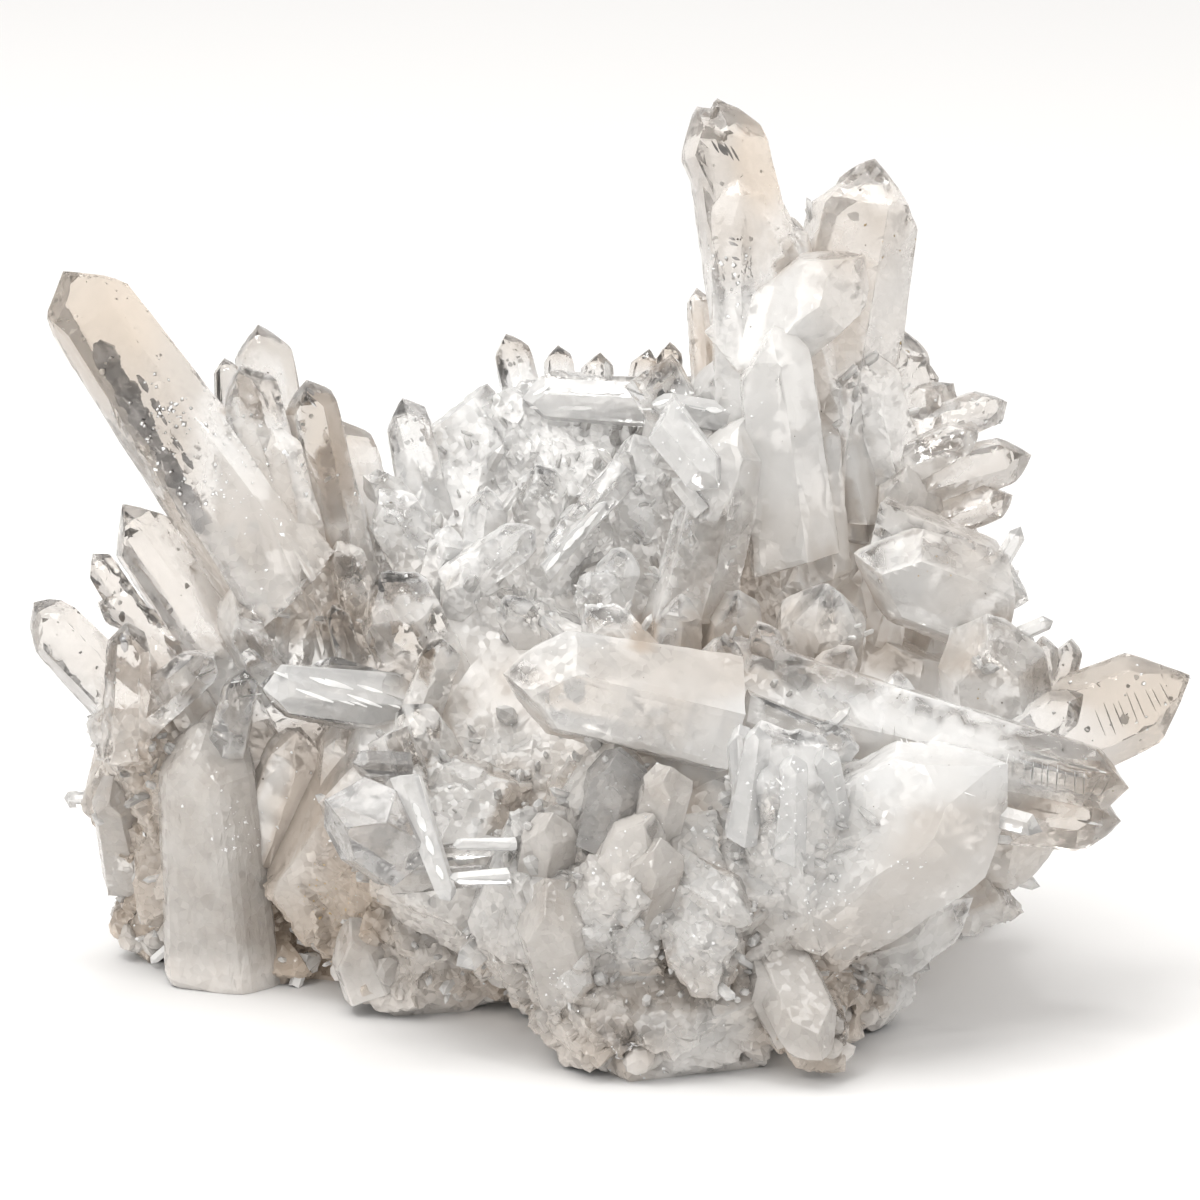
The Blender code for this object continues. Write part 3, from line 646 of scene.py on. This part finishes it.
def back_spots(count):
    """Spots on the broad milky faces of the back and sides, for crystals as long as the ones round them."""
    spots = []
    for where, facing in zip(*places_on_surface(count)):
        if Vector(facing).dot(toward_view) > 0.05 or not 6 * MM < where[2] < 100 * MM or facing[2] < -0.4:
            continue
        if noise.noise(Vector(where) * 40) < -0.12 or openness(where, facing, 22 * MM) < 0.7:
            continue
        if thickness(where, facing, THICK) < THICK * 0.9:
            continue
        axis = Vector(facing) + (Vector(where) - HEART).normalized() * 0.8 + Vector(chance.normal(0, 0.3, 3))
        length = chance.uniform(5.0, 15.0) * MM
        start = np.array(where) - np.array(axis.normalized()) * length * 0.45
        tip = start + np.array(axis.normalized()) * length
        if tip[1] > high.y or abs(tip[0]) > high.x:
            continue
        spots.append((start, axis, length, length * chance.uniform(0.8, 1.3), chance.uniform(0, math.tau)))
    return spots


join_copies("back_crystals", crystal_patterns, back_spots(2600), crust_quartz)

# %% [markdown]
# ## Healed cracks and veils inside
# Inside quartz there are healed cracks, thin as foil, that mirror the light and look like silver or
# snow. A bump on the surface can't make them, because they lie at many depths and move against each
# other as one walks round. So they are thin flakes placed under the surface, many near the heart
# and few toward the tips. Each starts as a round ball of few sides, flattened and bent.

# %% Flakes as patterns
def flake(seed):
    """A thin, uneven flake one unit wide."""
    pick = random.Random(seed)
    form = bmesh.new()
    bmesh.ops.create_icosphere(form, subdivisions=1, radius=0.5)
    for vert in form.verts:
        stretch = pick.uniform(0.5, 1.1)
        vert.co = Vector((vert.co.x * stretch, vert.co.y * stretch, vert.co.z * 0.03))
        vert.co.z += 0.18 * vert.co.x * vert.co.y + pick.uniform(-0.02, 0.02)
    bmesh.ops.recalc_face_normals(form, faces=form.faces)
    pattern = np.array([vert.co for vert in form.verts]), np.array([[v.index for v in f.verts] for f in form.faces])
    form.free()
    return pattern


flake_patterns = [flake(seed) for seed in range(10)]


def veil_spots(count, shallow, deep, small, large):
    """Spots under the surface, each clear of the outside by its own size."""
    spots = []
    for where, facing in zip(*places_on_surface(count)):
        depth = chance.uniform(shallow, deep)
        size = chance.uniform(small, large)
        inside = Vector(where) - Vector(facing) * depth
        near = surface.find_nearest(inside)
        if inside.z < size or near[3] < size * 0.55 or (inside - near[0]).dot(near[1]) > 0:
            continue
        if thickness(where, facing, THICK) < chance.uniform(16 * MM, 34 * MM):
            continue
        axis = Vector(facing) * 0.5 + Vector(chance.normal(0, 0.8, 3))
        spots.append((np.array(inside), axis, size, size * chance.uniform(0.6, 1.2), chance.uniform(0, math.tau)))
    return spots


def mark_and_glint_finish(name, colour, rough, metal, dark=0.8):
    """Foil-thin cracks and other small marks, painted glints and painted reflections: how bright they are changes from
    place to place.
    """
    made = bpy.data.materials.new(name)
    made.use_nodes = True
    tree = made.node_tree
    shader = tree.nodes["Principled BSDF"]
    place = add_node(tree, "ShaderNodeTexCoord").outputs["Object"]
    clouds = add_noise(tree, place, 300.0, 2.0)
    darker = tuple(value * dark for value in colour[:3]) + (1,)
    tree.links.new(add_mix(tree, add_range(tree, clouds, 0.35, 0.65, 0.0, 1.0), darker, colour), shader.inputs["Base Color"])
    shader.inputs["Roughness"].default_value = rough
    shader.inputs["Metallic"].default_value = metal
    return made


snow_veil = mark_and_glint_finish("milky veil", (0.96, 0.955, 0.945, 1), 0.5, 0.0)
silver_veil = mark_and_glint_finish("silver crack", (0.98, 0.98, 0.98, 1), 0.3, 0.55)
join_copies("veils_milky", flake_patterns, veil_spots(4200, 0.8 * MM, 9 * MM, 0.8 * MM, 5 * MM), snow_veil)
join_copies("cracks_silver", flake_patterns, veil_spots(500, 0.6 * MM, 5 * MM, 0.4 * MM, 1.4 * MM), silver_veil)

# %% Silver chips on the clear crystals, and white chips on the rough faces as painted glints
def chip_spots(count):
    """Spots just under the clear faces, lying nearly along them."""
    spots = []
    for where, facing in zip(*places_on_surface(count)):
        clear, rough, deep, _, _ = facts_of(Vector(where), Vector(facing))
        if clear < chance.uniform(0.3, 0.8) or deep > 0.7 or noise.noise(Vector(where) * 120) < -0.05:
            continue
        size = chance.uniform(0.3, 1.1) * MM * (1.4 if rough > 0.4 else 1.0)
        axis = Vector(facing) + Vector(chance.normal(0, 0.28, 3))
        inside = Vector(where) - Vector(facing) * chance.uniform(0.25, 0.9) * MM
        spots.append((np.array(inside), axis, size, size * chance.uniform(0.5, 1.4), chance.uniform(0, math.tau)))
    return spots


join_copies("chips_silver", flake_patterns, chip_spots(5200), silver_veil)


def sparkle_spots(count):
    """Spots on the rough faces for small white chips that stand out and catch the light from above: real small steps,
    painted white as glints.
    """
    spots = []
    for where, facing in zip(*places_on_surface(count)):
        if noise.noise(Vector(where) * 80) < -0.05 or roughness_of(Vector(where), Vector(facing)) < 0.28:
            continue
        axis = Vector(facing) + Vector((-0.1, -0.15, 0.3)) + Vector(chance.normal(0, 0.15, 3))
        size = chance.uniform(0.25, 0.8) * MM
        out = np.array(where) - np.array(facing) * chance.uniform(-0.05, 0.1) * MM
        spots.append((out, axis, size, size * chance.uniform(0.4, 1.3), chance.uniform(0, math.tau)))
    return spots


def wedge(seed):
    """A thin chip one unit wide: a flat base of four or five sides under a low point."""
    pick = random.Random(seed)
    form = bmesh.new()
    bmesh.ops.create_cone(form, cap_ends=True, segments=pick.choice((4, 5)), radius1=0.5, radius2=0.0, depth=0.22)
    for vert in form.verts:
        vert.co.x *= pick.uniform(0.6, 1.2)
        vert.co.y *= pick.uniform(0.5, 1.1)
    tip = max(form.verts, key=lambda vert: vert.co.z)
    tip.co.x += pick.uniform(-0.3, 0.3)
    bmesh.ops.triangulate(form, faces=form.faces)
    bmesh.ops.recalc_face_normals(form, faces=form.faces)
    pattern = np.array([vert.co for vert in form.verts]), np.array([[v.index for v in f.verts] for f in form.faces])
    form.free()
    return pattern


wedge_patterns = [wedge(seed) for seed in range(12)]
# painted glint: a white finish for small chips, so that they show as bright points
painted_glint = mark_and_glint_finish("painted glint", (1.0, 1.0, 1.0, 1), 0.2, 0.2, 0.9)
join_copies("sparkles", wedge_patterns, sparkle_spots(7000), painted_glint)

# %% [markdown]
# ## White stripes
# The long clear crystals carry white stripes: fine steps across their faces and healed cracks along
# them. A stripe could be a wave in the finish, but it has to follow each crystal's own lean, so each
# one is a thin bar set just under the face. Its place is found by looking at the crystal from the
# front, along the camera's line, and stopping where that line meets the quartz.

# %% Stripes and painted reflection bands, seen from the front
def view_line(across, up):
    """The direction from the camera to a place of the front view, in mm."""
    aim = AIM + SHIFT + Vector((across * MM - AIM.x, 0, 0)) + VIEW_UP * (up - 61.5) * MM
    return (aim - camera.location).normalized()


def seen_at(across, up, on=surface):
    """The place on the quartz that shows at this place of the front view, and the way it faces."""
    hit = on.ray_cast(camera.location, view_line(across, up))
    return hit[0], hit[1]


def bar(seed):
    """A thin bar one unit long and wide, with ends that taper unevenly."""
    pick = random.Random(seed)
    form = bmesh.new()
    bmesh.ops.create_cube(form, size=1)
    bmesh.ops.subdivide_edges(form, edges=[e for e in form.edges if abs(e.verts[0].co.x - e.verts[1].co.x) > 0.5], cuts=2)
    for vert in form.verts:
        narrow = 0.3 if abs(vert.co.x) > 0.4 else pick.uniform(0.8, 1.1)
        vert.co = Vector((vert.co.x, vert.co.y * narrow, vert.co.z * 0.3))
    bmesh.ops.triangulate(form, faces=form.faces)
    pattern = np.array([vert.co for vert in form.verts]), np.array([[v.index for v in f.verts] for f in form.faces])
    form.free()
    return pattern


bar_patterns = [bar(seed) for seed in range(5)]
BarRow = namedtuple("BarRow", "name across up lean long count apart length width depth", defaults=(0.25,))
STRIPES = (
    # the first stripe's middle, the lean of the stripes and of the row they stand in, and their number
    BarRow("long clear steps", 46, 39, 6, 104, 26, 1.5, 4.2, 0.22),
    BarRow("long clear edge", 44, 42.5, 104, 104, 6, 7.0, 6.0, 0.5),
    BarRow("long clear low edge", 46, 33.0, 104, 104, 6, 7.0, 5.0, 0.4),
    BarRow("ridge upper", -12, 96.2, 90, 90, 5, 6.0, 5.0, 0.7),
    BarRow("ridge lower", -11, 93.4, 90, 90, 5, 6.2, 4.6, 0.6),
    BarRow("lying clear upper", -66, 49, 80, 100, 4, 5.0, 4.6, 0.4),
    BarRow("lying clear lower", -64, 46.4, 80, 100, 4, 5.0, 4.0, 0.3),
    BarRow("bright edge", -10, 67, 43, 43, 4, 4.0, 3.8, 0.5),
    BarRow("right clear steps", 82, 41, -24, 66, 9, 1.5, 5.0, 0.2),
    BarRow("notch left side", 49.2, 60.5, 45, 45, 3, 1.5, 2.0, 0.3),
    BarRow("notch right side", 53.4, 64.4, 160, 160, 2, 1.6, 2.0, 0.3),
)


def bar_row_spots(rows, on=surface):
    """Spots of the bars in the rows, stripes or painted reflection bands, each laid along the face that it is seen on.
    """
    spots = []
    for row in rows:
        row_way = Vector((math.sin(math.radians(row.long)), math.cos(math.radians(row.long))))
        for number in range(row.count):
            shift = number * row.apart + chance.uniform(-0.3, 0.3) * row.apart
            where, facing = seen_at(row.across + row_way.x * shift, row.up + row_way.y * shift, on)
            if where is None:
                continue
            lean = math.radians(row.lean + chance.uniform(-3, 3))
            way = Vector((math.sin(lean), 0, 0)) + VIEW_UP * math.cos(lean)
            way = (way - facing * way.dot(facing)).normalized()
            length = row.length * chance.uniform(0.6, 1.2) * MM
            spots.append((where - facing * row.depth * MM, way, facing, length, row.width * chance.uniform(0.6, 1.3) * MM))
    return spots


def join_bars(name, spots, finish):
    """One mesh of many bars, each with a middle, the way it runs, the way it faces, a length and a width."""
    points, faces, count = [], [], 0
    for number, (where, way, facing, length, width) in enumerate(spots):
        shape, sides = bar_patterns[number % len(bar_patterns)]
        turn = np.array(Matrix((way, facing.cross(way), facing)))
        points.append(shape * np.array([length, width, width]) @ turn + np.array(where))
        faces.append(sides + count)
        count += len(shape)
    mesh = bpy.data.meshes.new(name)
    mesh.from_pydata(np.concatenate(points).tolist(), [], np.concatenate(faces).tolist())
    mesh.materials.append(finish)
    piece = bpy.data.objects.new(name, mesh)
    bpy.context.scene.collection.objects.link(piece)
    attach(piece, "root")
    print(name, "has", len(spots), "bars")


PAINTED_REFLECTION_BANDS = (
    # dark metal bars inside the clear crystals, set where their back faces mirror the dark part of the room: painted
    # reflection
    BarRow("tall left upper", -84.0, 102, 150, 150, 12, 1.5, 6.0, 3.6, 2.2),
    BarRow("tall left middle", -74.0, 85, 150, 150, 8, 1.8, 6.0, 2.8, 2.2),
    BarRow("tall left thin", -78.0, 98, 150, 150, 5, 4.0, 3.0, 0.9, 1.6),
    BarRow("tallest facet", 18.0, 137.0, 150, 110, 5, 0.8, 2.8, 0.6, 0.6),
    BarRow("tallest low", 20.5, 122.0, 110, 170, 3, 1.6, 1.8, 0.5, 0.6),
    BarRow("twin mark", -34.0, 81.5, 170, 170, 3, 1.4, 1.8, 0.8, 0.8),
    BarRow("spear mark", -50.0, 99.0, 165, 165, 3, 2.0, 2.4, 0.8, 0.8),
    BarRow("left small", -81.0, 58.0, 175, 175, 3, 2.4, 2.6, 0.9, 0.8),
    BarRow("fan mark", -16.5, 84.0, 130, 60, 3, 1.3, 1.6, 0.5, 0.5),
)
# painted reflection: a dark, mirror-like finish for the bars inside the clear crystals
painted_dark_reflection = mark_and_glint_finish("painted dark reflection", (0.62, 0.63, 0.65, 1), 0.12, 1.0, 0.5)
join_bars("white_stripes", bar_row_spots(STRIPES), snow_veil)
join_bars("inner_bands", bar_row_spots(PAINTED_REFLECTION_BANDS), painted_dark_reflection)

# %% [markdown]
# ## Clear crystals that stand out in front
# A few small, very clear crystals lie over the milky front. On the solid they are half sunk, so the
# ones that catch the eye are made again here, each cut from a block by planes, as nature's own faces
# are: six sides that narrow a little upward and six slopes of which three are large. Their two ends
# are named by where they show in the front view, and they lie just proud of what is behind them.

# %% One crystal cut from a block
def cut_crystal(seed, length, width, flat, worn, turned):
    """A crystal with its root at the origin and its point up +Z."""
    pick = random.Random(seed)
    form = bmesh.new()
    bmesh.ops.create_cube(form, size=4 * length + 4 * width)
    planes = [(Vector((0, 0, 0)), Vector((pick.uniform(-0.4, 0.4), pick.uniform(-0.4, 0.4), -1)))]
    for side in range(6):
        angle = math.radians(turned) + side * math.tau / 6
        outward = Vector((math.cos(angle), math.sin(angle), 0))
        reach = width / 2 * math.hypot(outward.x, outward.y * flat) * pick.uniform(0.85, 1.08)
        planes.append((outward * reach, outward + Vector((0, 0, pick.uniform(0.0, 0.06)))))
        drop = pick.uniform(0.0, 0.05) if side % 2 else -pick.uniform(0.1, 0.35)
        planes.append((Vector((0, 0, length - drop * width)), outward * 0.786 + Vector((0, 0, 0.618))))
    for point, normal in planes:
        made = bmesh.ops.bisect_plane(form, geom=form.verts[:] + form.edges[:] + form.faces[:], dist=1e-7,
                                      plane_co=point, plane_no=normal, clear_outer=True)
        rim = [item for item in made["geom_cut"] if isinstance(item, bmesh.types.BMEdge)]
        if len(rim) > 2:
            bmesh.ops.edgeloop_fill(form, edges=rim)
    bmesh.ops.recalc_face_normals(form, faces=form.faces)
    bmesh.ops.bevel(form, geom=form.edges, offset=worn * MM, offset_type="OFFSET", affect="EDGES",
                    segments=2 if worn > 1 else 1, profile=0.5, material=-1, clamp_overlap=True)
    return form


Loose = namedtuple("Loose", "name root_across root_up tip_across tip_up proud sunk width flat worn turned", defaults=(0.12, 12))
BRIGHT_LOOSE = (
    Loose("hanging", -33.6, 32.0, -26.2, 11.0, 6.5, 3.0, 5.0, 0.8),
    Loose("lying", -34.4, 45.0, -57.6, 46.8, 2.4, 9.0, 9.0, 0.8, 0.12, -5),
    Loose("bar high", -15.4, 20.7, -26.0, 20.6, 1.2, 0.0, 2.2, 0.9),
    Loose("bar low", -16.6, 15.5, -26.5, 15.2, 1.2, 0.0, 2.8, 0.9),
    Loose("bright edge", -10.6, 66.0, 0.0, 78.0, 1.6, 3.0, 3.4, 0.8),
    Loose("ridge left", 6.0, 94.0, -14.5, 95.0, -11.7, 0.0, 7.0, 0.8),
    Loose("ridge right", 22.0, 91.5, 7.0, 94.2, -4.6, 1.0, 5.5, 0.8),
    Loose("ridge shard", 9.0, 92.0, 18.5, 80.0, 1.6, 3.0, 8.0, 0.7),
    Loose("fracture left", 22.0, 22.0, 25.0, 40.5, 1.6, 5.0, 5.0, 0.8),
    Loose("fracture middle", 30.0, 18.0, 31.0, 36.0, 1.6, 6.0, 6.0, 0.7),
    Loose("fracture right", 38.0, 24.0, 36.0, 37.0, 1.4, 5.0, 5.0, 0.8),
    Loose("beside the milky one", 24.0, 25.0, 22.0, 41.0, 1.0, 6.0, 5.0, 0.8),
)
GREY_LOOSE = (
    Loose("front", -32.5, 19.5, -47.6, 28.6, 3.5, 6.0, 15.0, 0.8),
    Loose("front top", -33.0, 33.8, -42.6, 34.4, 3.2, 3.0, 4.4, 0.9),
    Loose("pyramid", -1.0, 22.0, 2.2, 37.2, 1.6, 6.0, 10.0, 0.9),
)
MILKY_LOOSE = (
    Loose("etched block", -64.0, -3.0, -68.0, 43.0, 0.4, 17.0, 20.5, 0.66, 2.0),
    Loose("foot left", -38.0, -3.0, -43.0, 9.0, -0.6, 6.0, 11.0, 0.8, 0.3),
    Loose("foot right", 31.0, -9.0, 24.0, 3.0, -0.4, 6.0, 11.0, 0.8, 0.3),
    Loose("left block", -79.5, 16.0, -82.5, 32.5, 1.0, 16.0, 9.0, 0.9),
    Loose("front shard", -13.0, 4.0, -9.0, 26.5, 2.0, 14.0, 11.5, 0.8),
    Loose("front boulder", -4.0, -8.0, -10.5, 15.5, 1.6, 14.0, 13.5, 0.9),
    Loose("foot point", 24.0, 10.0, 36.0, -15.5, 1.2, 14.0, 11.5, 0.7),
    Loose("middle shard", 4.0, 4.0, 9.0, 22.0, 1.5, 12.0, 10.0, 0.8),
    Loose("under the milky one", 7.0, 21.0, 10.5, 34.0, 1.0, 10.0, 8.0, 0.8),
)


BLOCK_LIMITS = (16 * MM, 8 * MM, 4 * MM, 2 * MM, 2 * MM)


def roughen(form, share):
    """Gives a milky crystal the same small steps and chips as the skin."""
    make_triangles(form)
    for limit in BLOCK_LIMITS:
        halve(form, [edge for edge in form.edges if edge.calc_length() > limit])
    form.normal_update()
    shifts = [vert.normal * ((tilted_cell(vert.co, *STEPS) + tilted_cell(vert.co, *CHIPS)) * share) for vert in form.verts]
    for vert, shift in zip(form.verts, shifts):
        vert.co += shift
        vert.co.z = max(vert.co.z, 0.05 * MM)


LOOSE_STRIPES = {
    # white stripes and steps on the crystals of these names
    "lying": (BarRow("upper", -53.0, 48.6, 102, 98, 6, 2.7, 7.0, 0.7, 0.1),
              BarRow("lower", -49.0, 45.6, 104, 96, 5, 3.0, 6.0, 0.6, 0.1)),
    "hanging": (BarRow("edge", -32.0, 27.0, 160, 160, 4, 3.6, 3.8, 1.0, 0.1),),
    "ridge left": (BarRow("upper", -12.0, 96.4, 91, 91, 5, 3.4, 5.0, 1.1, 0.1), BarRow("lower", -11.0, 93.6, 91, 91, 5, 3.4, 4.0, 0.8, 0.1)),
    "ridge right": (BarRow("middle", 9.0, 94.4, 98, 98, 4, 2.8, 4.0, 0.8, 0.1),),
    "bright edge": (BarRow("steps", -8.6, 68.5, 42, 42, 5, 3.0, 3.4, 0.9, 0.1),),
    "fracture middle": (BarRow("steps", 29.5, 30.0, 130, 175, 5, 2.0, 3.6, 0.5, 0.1),),
    "fracture right": (BarRow("steps", 37.0, 34.0, 60, 170, 4, 2.2, 3.0, 0.4, 0.1),),
    "front": (BarRow("edge", -37.0, 31.0, 112, 118, 3, 2.6, 3.0, 0.35, 0.05),),
}
loose_spots = []


def lay_loose(name, rows, finish, broken):
    """One mesh of the crystals in the rows, each between its root and its point."""
    whole = bmesh.new()
    for number, row in enumerate(rows):
        ends = (row.root_across, row.root_up), (row.tip_across, row.tip_up)
        depths = []
        for share in (0.0, 0.25, 0.5, 0.75, 1.0):
            where, _ = seen_at(*(a + (b - a) * share for a, b in zip(*ends)))
            if where is not None:
                depths.append((camera.location - where).length)
        depth = min(depths) - row.proud * MM
        root = camera.location + view_line(*ends[0]) * (depth + row.sunk * MM)
        tip = camera.location + view_line(*ends[1]) * depth
        form = cut_crystal(number * 7 + 3, (tip - root).length, row.width * MM, row.flat, row.worn, row.turned)
        axis = (tip - root).normalized()
        side = axis.cross(toward_view).normalized()
        turn = Matrix((side, axis.cross(side), axis)).transposed().to_4x4()
        bmesh.ops.transform(form, matrix=Matrix.Translation(root) @ turn, verts=form.verts)
        if broken:
            roughen(form, 0.12)
        loose_spots.extend(bar_row_spots(LOOSE_STRIPES.get(row.name, ()), BVHTree.FromBMesh(form)))
        single = bpy.data.meshes.new("single")
        form.to_mesh(single)
        form.free()
        whole.from_mesh(single)
        bpy.data.meshes.remove(single)
    mesh = bpy.data.meshes.new(name)
    whole.to_mesh(mesh)
    whole.free()
    mesh.materials.append(finish)
    piece = bpy.data.objects.new(name, mesh)
    bpy.context.scene.collection.objects.link(piece)
    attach(piece, "root")
    print(name, "has", len(rows), "crystals")


# the last fixed fact is painted light, which makes the bright crystals whiter
bright_quartz = quartz("bright quartz", (0.7, 0.05, 0.0, 0.0, 0.9), 0.24, 0.55, PALE_GLASS)
grey_quartz = quartz("grey quartz", (0.75, 0.15, 0.2, 0.0, 0.0), 0.28, 0.75, GREY_GLASS)
lay_loose("clear_crystals", BRIGHT_LOOSE, bright_quartz, False)
lay_loose("grey_crystals", GREY_LOOSE, grey_quartz, False)
join_bars("loose_stripes", loose_spots, snow_veil)

# %% [markdown]
# ## Knobs along the broken rim
# Along the floor the cluster was broken from the rock, and its rim is a row of small knobs of milky
# quartz. The big solid ends there in straight cuts, so knobs are set half into its lower edge. A
# round ball with few sides, flattened on some of them, is enough for each.

# %% Rim knobs
def knob(seed):
    """A lump with flat sides, one unit wide."""
    pick = random.Random(seed)
    form = bmesh.new()
    bmesh.ops.create_icosphere(form, subdivisions=2, radius=0.5)
    for number in range(9):
        outward = Vector((pick.gauss(0, 1), pick.gauss(0, 1), pick.gauss(0, 1))).normalized()
        reach = pick.uniform(0.28, 0.42)
        for vert in form.verts:
            beyond = vert.co.dot(outward) - reach
            if beyond > 0:
                vert.co -= outward * beyond
    pattern = np.array([vert.co for vert in form.verts]), np.array([[v.index for v in f.verts] for f in form.faces])
    form.free()
    return pattern


knob_patterns = [knob(seed) for seed in range(9)]


def knob_spots(count):
    """Spots along the lower edge, each knob standing on the floor or a little above it."""
    spots = []
    for where, facing in zip(*places_on_surface(count)):
        if not 0.6 * MM < where[2] < 11 * MM or facing[2] > 0.6 or facing[2] < -0.93:
            continue
        if openness(where, facing, 12 * MM) < 0.3:
            continue
        size = chance.uniform(2.0, 6.5) * MM
        middle = np.array(where) - np.array(facing) * size * 0.2
        middle[2] = max(middle[2], size * 0.38)
        spots.append((middle, Vector(facing) + Vector(chance.normal(0, 0.6, 3)), size * 0.8,
                      size, chance.uniform(0, math.tau)))
    return spots


rim_quartz = quartz("rim quartz", (0.3, 0.4, 0.35, 0.2, 0.0), 0.36, 0.8, MILK)
lay_loose("milky_crystals", MILKY_LOOSE, rim_quartz, True)
join_copies("rim_knobs", knob_patterns, knob_spots(3000), rim_quartz)

# %% Iron stains, dark specks and painted glints
StainAndGlint = namedtuple("StainAndGlint", "across up spread count")
STAINS = (StainAndGlint(-49, 13, 1.6, 26), StainAndGlint(-45, 9.5, 1.6, 18), StainAndGlint(-76, 1.5, 1.2, 12), StainAndGlint(46, 121, 2.5, 8), StainAndGlint(50, 103, 1.0, 5),
          StainAndGlint(63, 46, 1.2, 5), StainAndGlint(55, 67, 2.0, 5))


# white chips set round these places of the front view: painted glints
GLINTS = (StainAndGlint(36, 11, 3.0, 30), StainAndGlint(50, 17, 1.5, 12), StainAndGlint(-60.5, 22, 2.2, 22), StainAndGlint(-9, -2, 1.8, 18), StainAndGlint(28, 27, 5.5, 90),
          StainAndGlint(-14, 82, 7.0, 60), StainAndGlint(-30, 70, 6.0, 50), StainAndGlint(14, 91, 5.0, 40), StainAndGlint(-73, 92, 3.5, 60), StainAndGlint(-66, 80, 3.0, 30),
          StainAndGlint(20, 116, 4.0, 40), StainAndGlint(-56, 82, 5.0, 50), StainAndGlint(85, 44, 5.0, 20), StainAndGlint(60, 92, 5.0, 30), StainAndGlint(0, 62, 6.0, 50),
          StainAndGlint(-64, 30, 6.0, 24), StainAndGlint(6, 20, 9.0, 60))


def all_that_shows():
    """The surface of the skin and of the crystals that stand in front of it."""
    points, faces = [], []
    for name in ("quartz_skin", "clear_crystals", "grey_crystals", "milky_crystals"):
        mesh = bpy.data.objects[name].data
        first = len(points)
        points.extend(vert.co[:] for vert in mesh.vertices)
        faces.extend([first + index for index in face.vertices] for face in mesh.polygons)
    return BVHTree.FromPolygons(points, faces)


def stain_and_glint_spots(rows, on, tilt, small, large):
    """Spots on the faces round the named places of the front view."""
    spots = []
    for row in rows:
        for number in range(row.count):
            where, facing = seen_at(row.across + chance.normal(0, row.spread), row.up + chance.normal(0, row.spread), on)
            if where is not None:
                size = chance.uniform(small, large) * MM
                axis = facing + Vector(chance.normal(0, tilt, 3))
                spots.append((np.array(where), axis, size, size * chance.uniform(0.5, 1.2), chance.uniform(0, math.tau)))
    return spots


def speck_spots(count):
    """Spots of the tiny dark grains that lie on the quartz."""
    spots = []
    for where, facing in zip(*places_on_surface(count)):
        size = chance.uniform(0.2, 0.55) * MM
        spots.append((where, facing, size, size, chance.uniform(0, math.tau)))
    return spots


shown = all_that_shows()
iron_stain = mark_and_glint_finish("iron stain", (0.55, 0.40, 0.20, 1), 0.7, 0.0)
join_copies("iron_stains", wedge_patterns, stain_and_glint_spots(STAINS, shown, 0.05, 0.3, 1.0), iron_stain)
join_copies("glints", wedge_patterns, stain_and_glint_spots(GLINTS, shown, 0.2, 0.4, 1.3), painted_glint)
join_copies("dark_specks", wedge_patterns, speck_spots(420), mark_and_glint_finish("dark grain", (0.20, 0.17, 0.14, 1), 0.6, 0.0, 0.5))
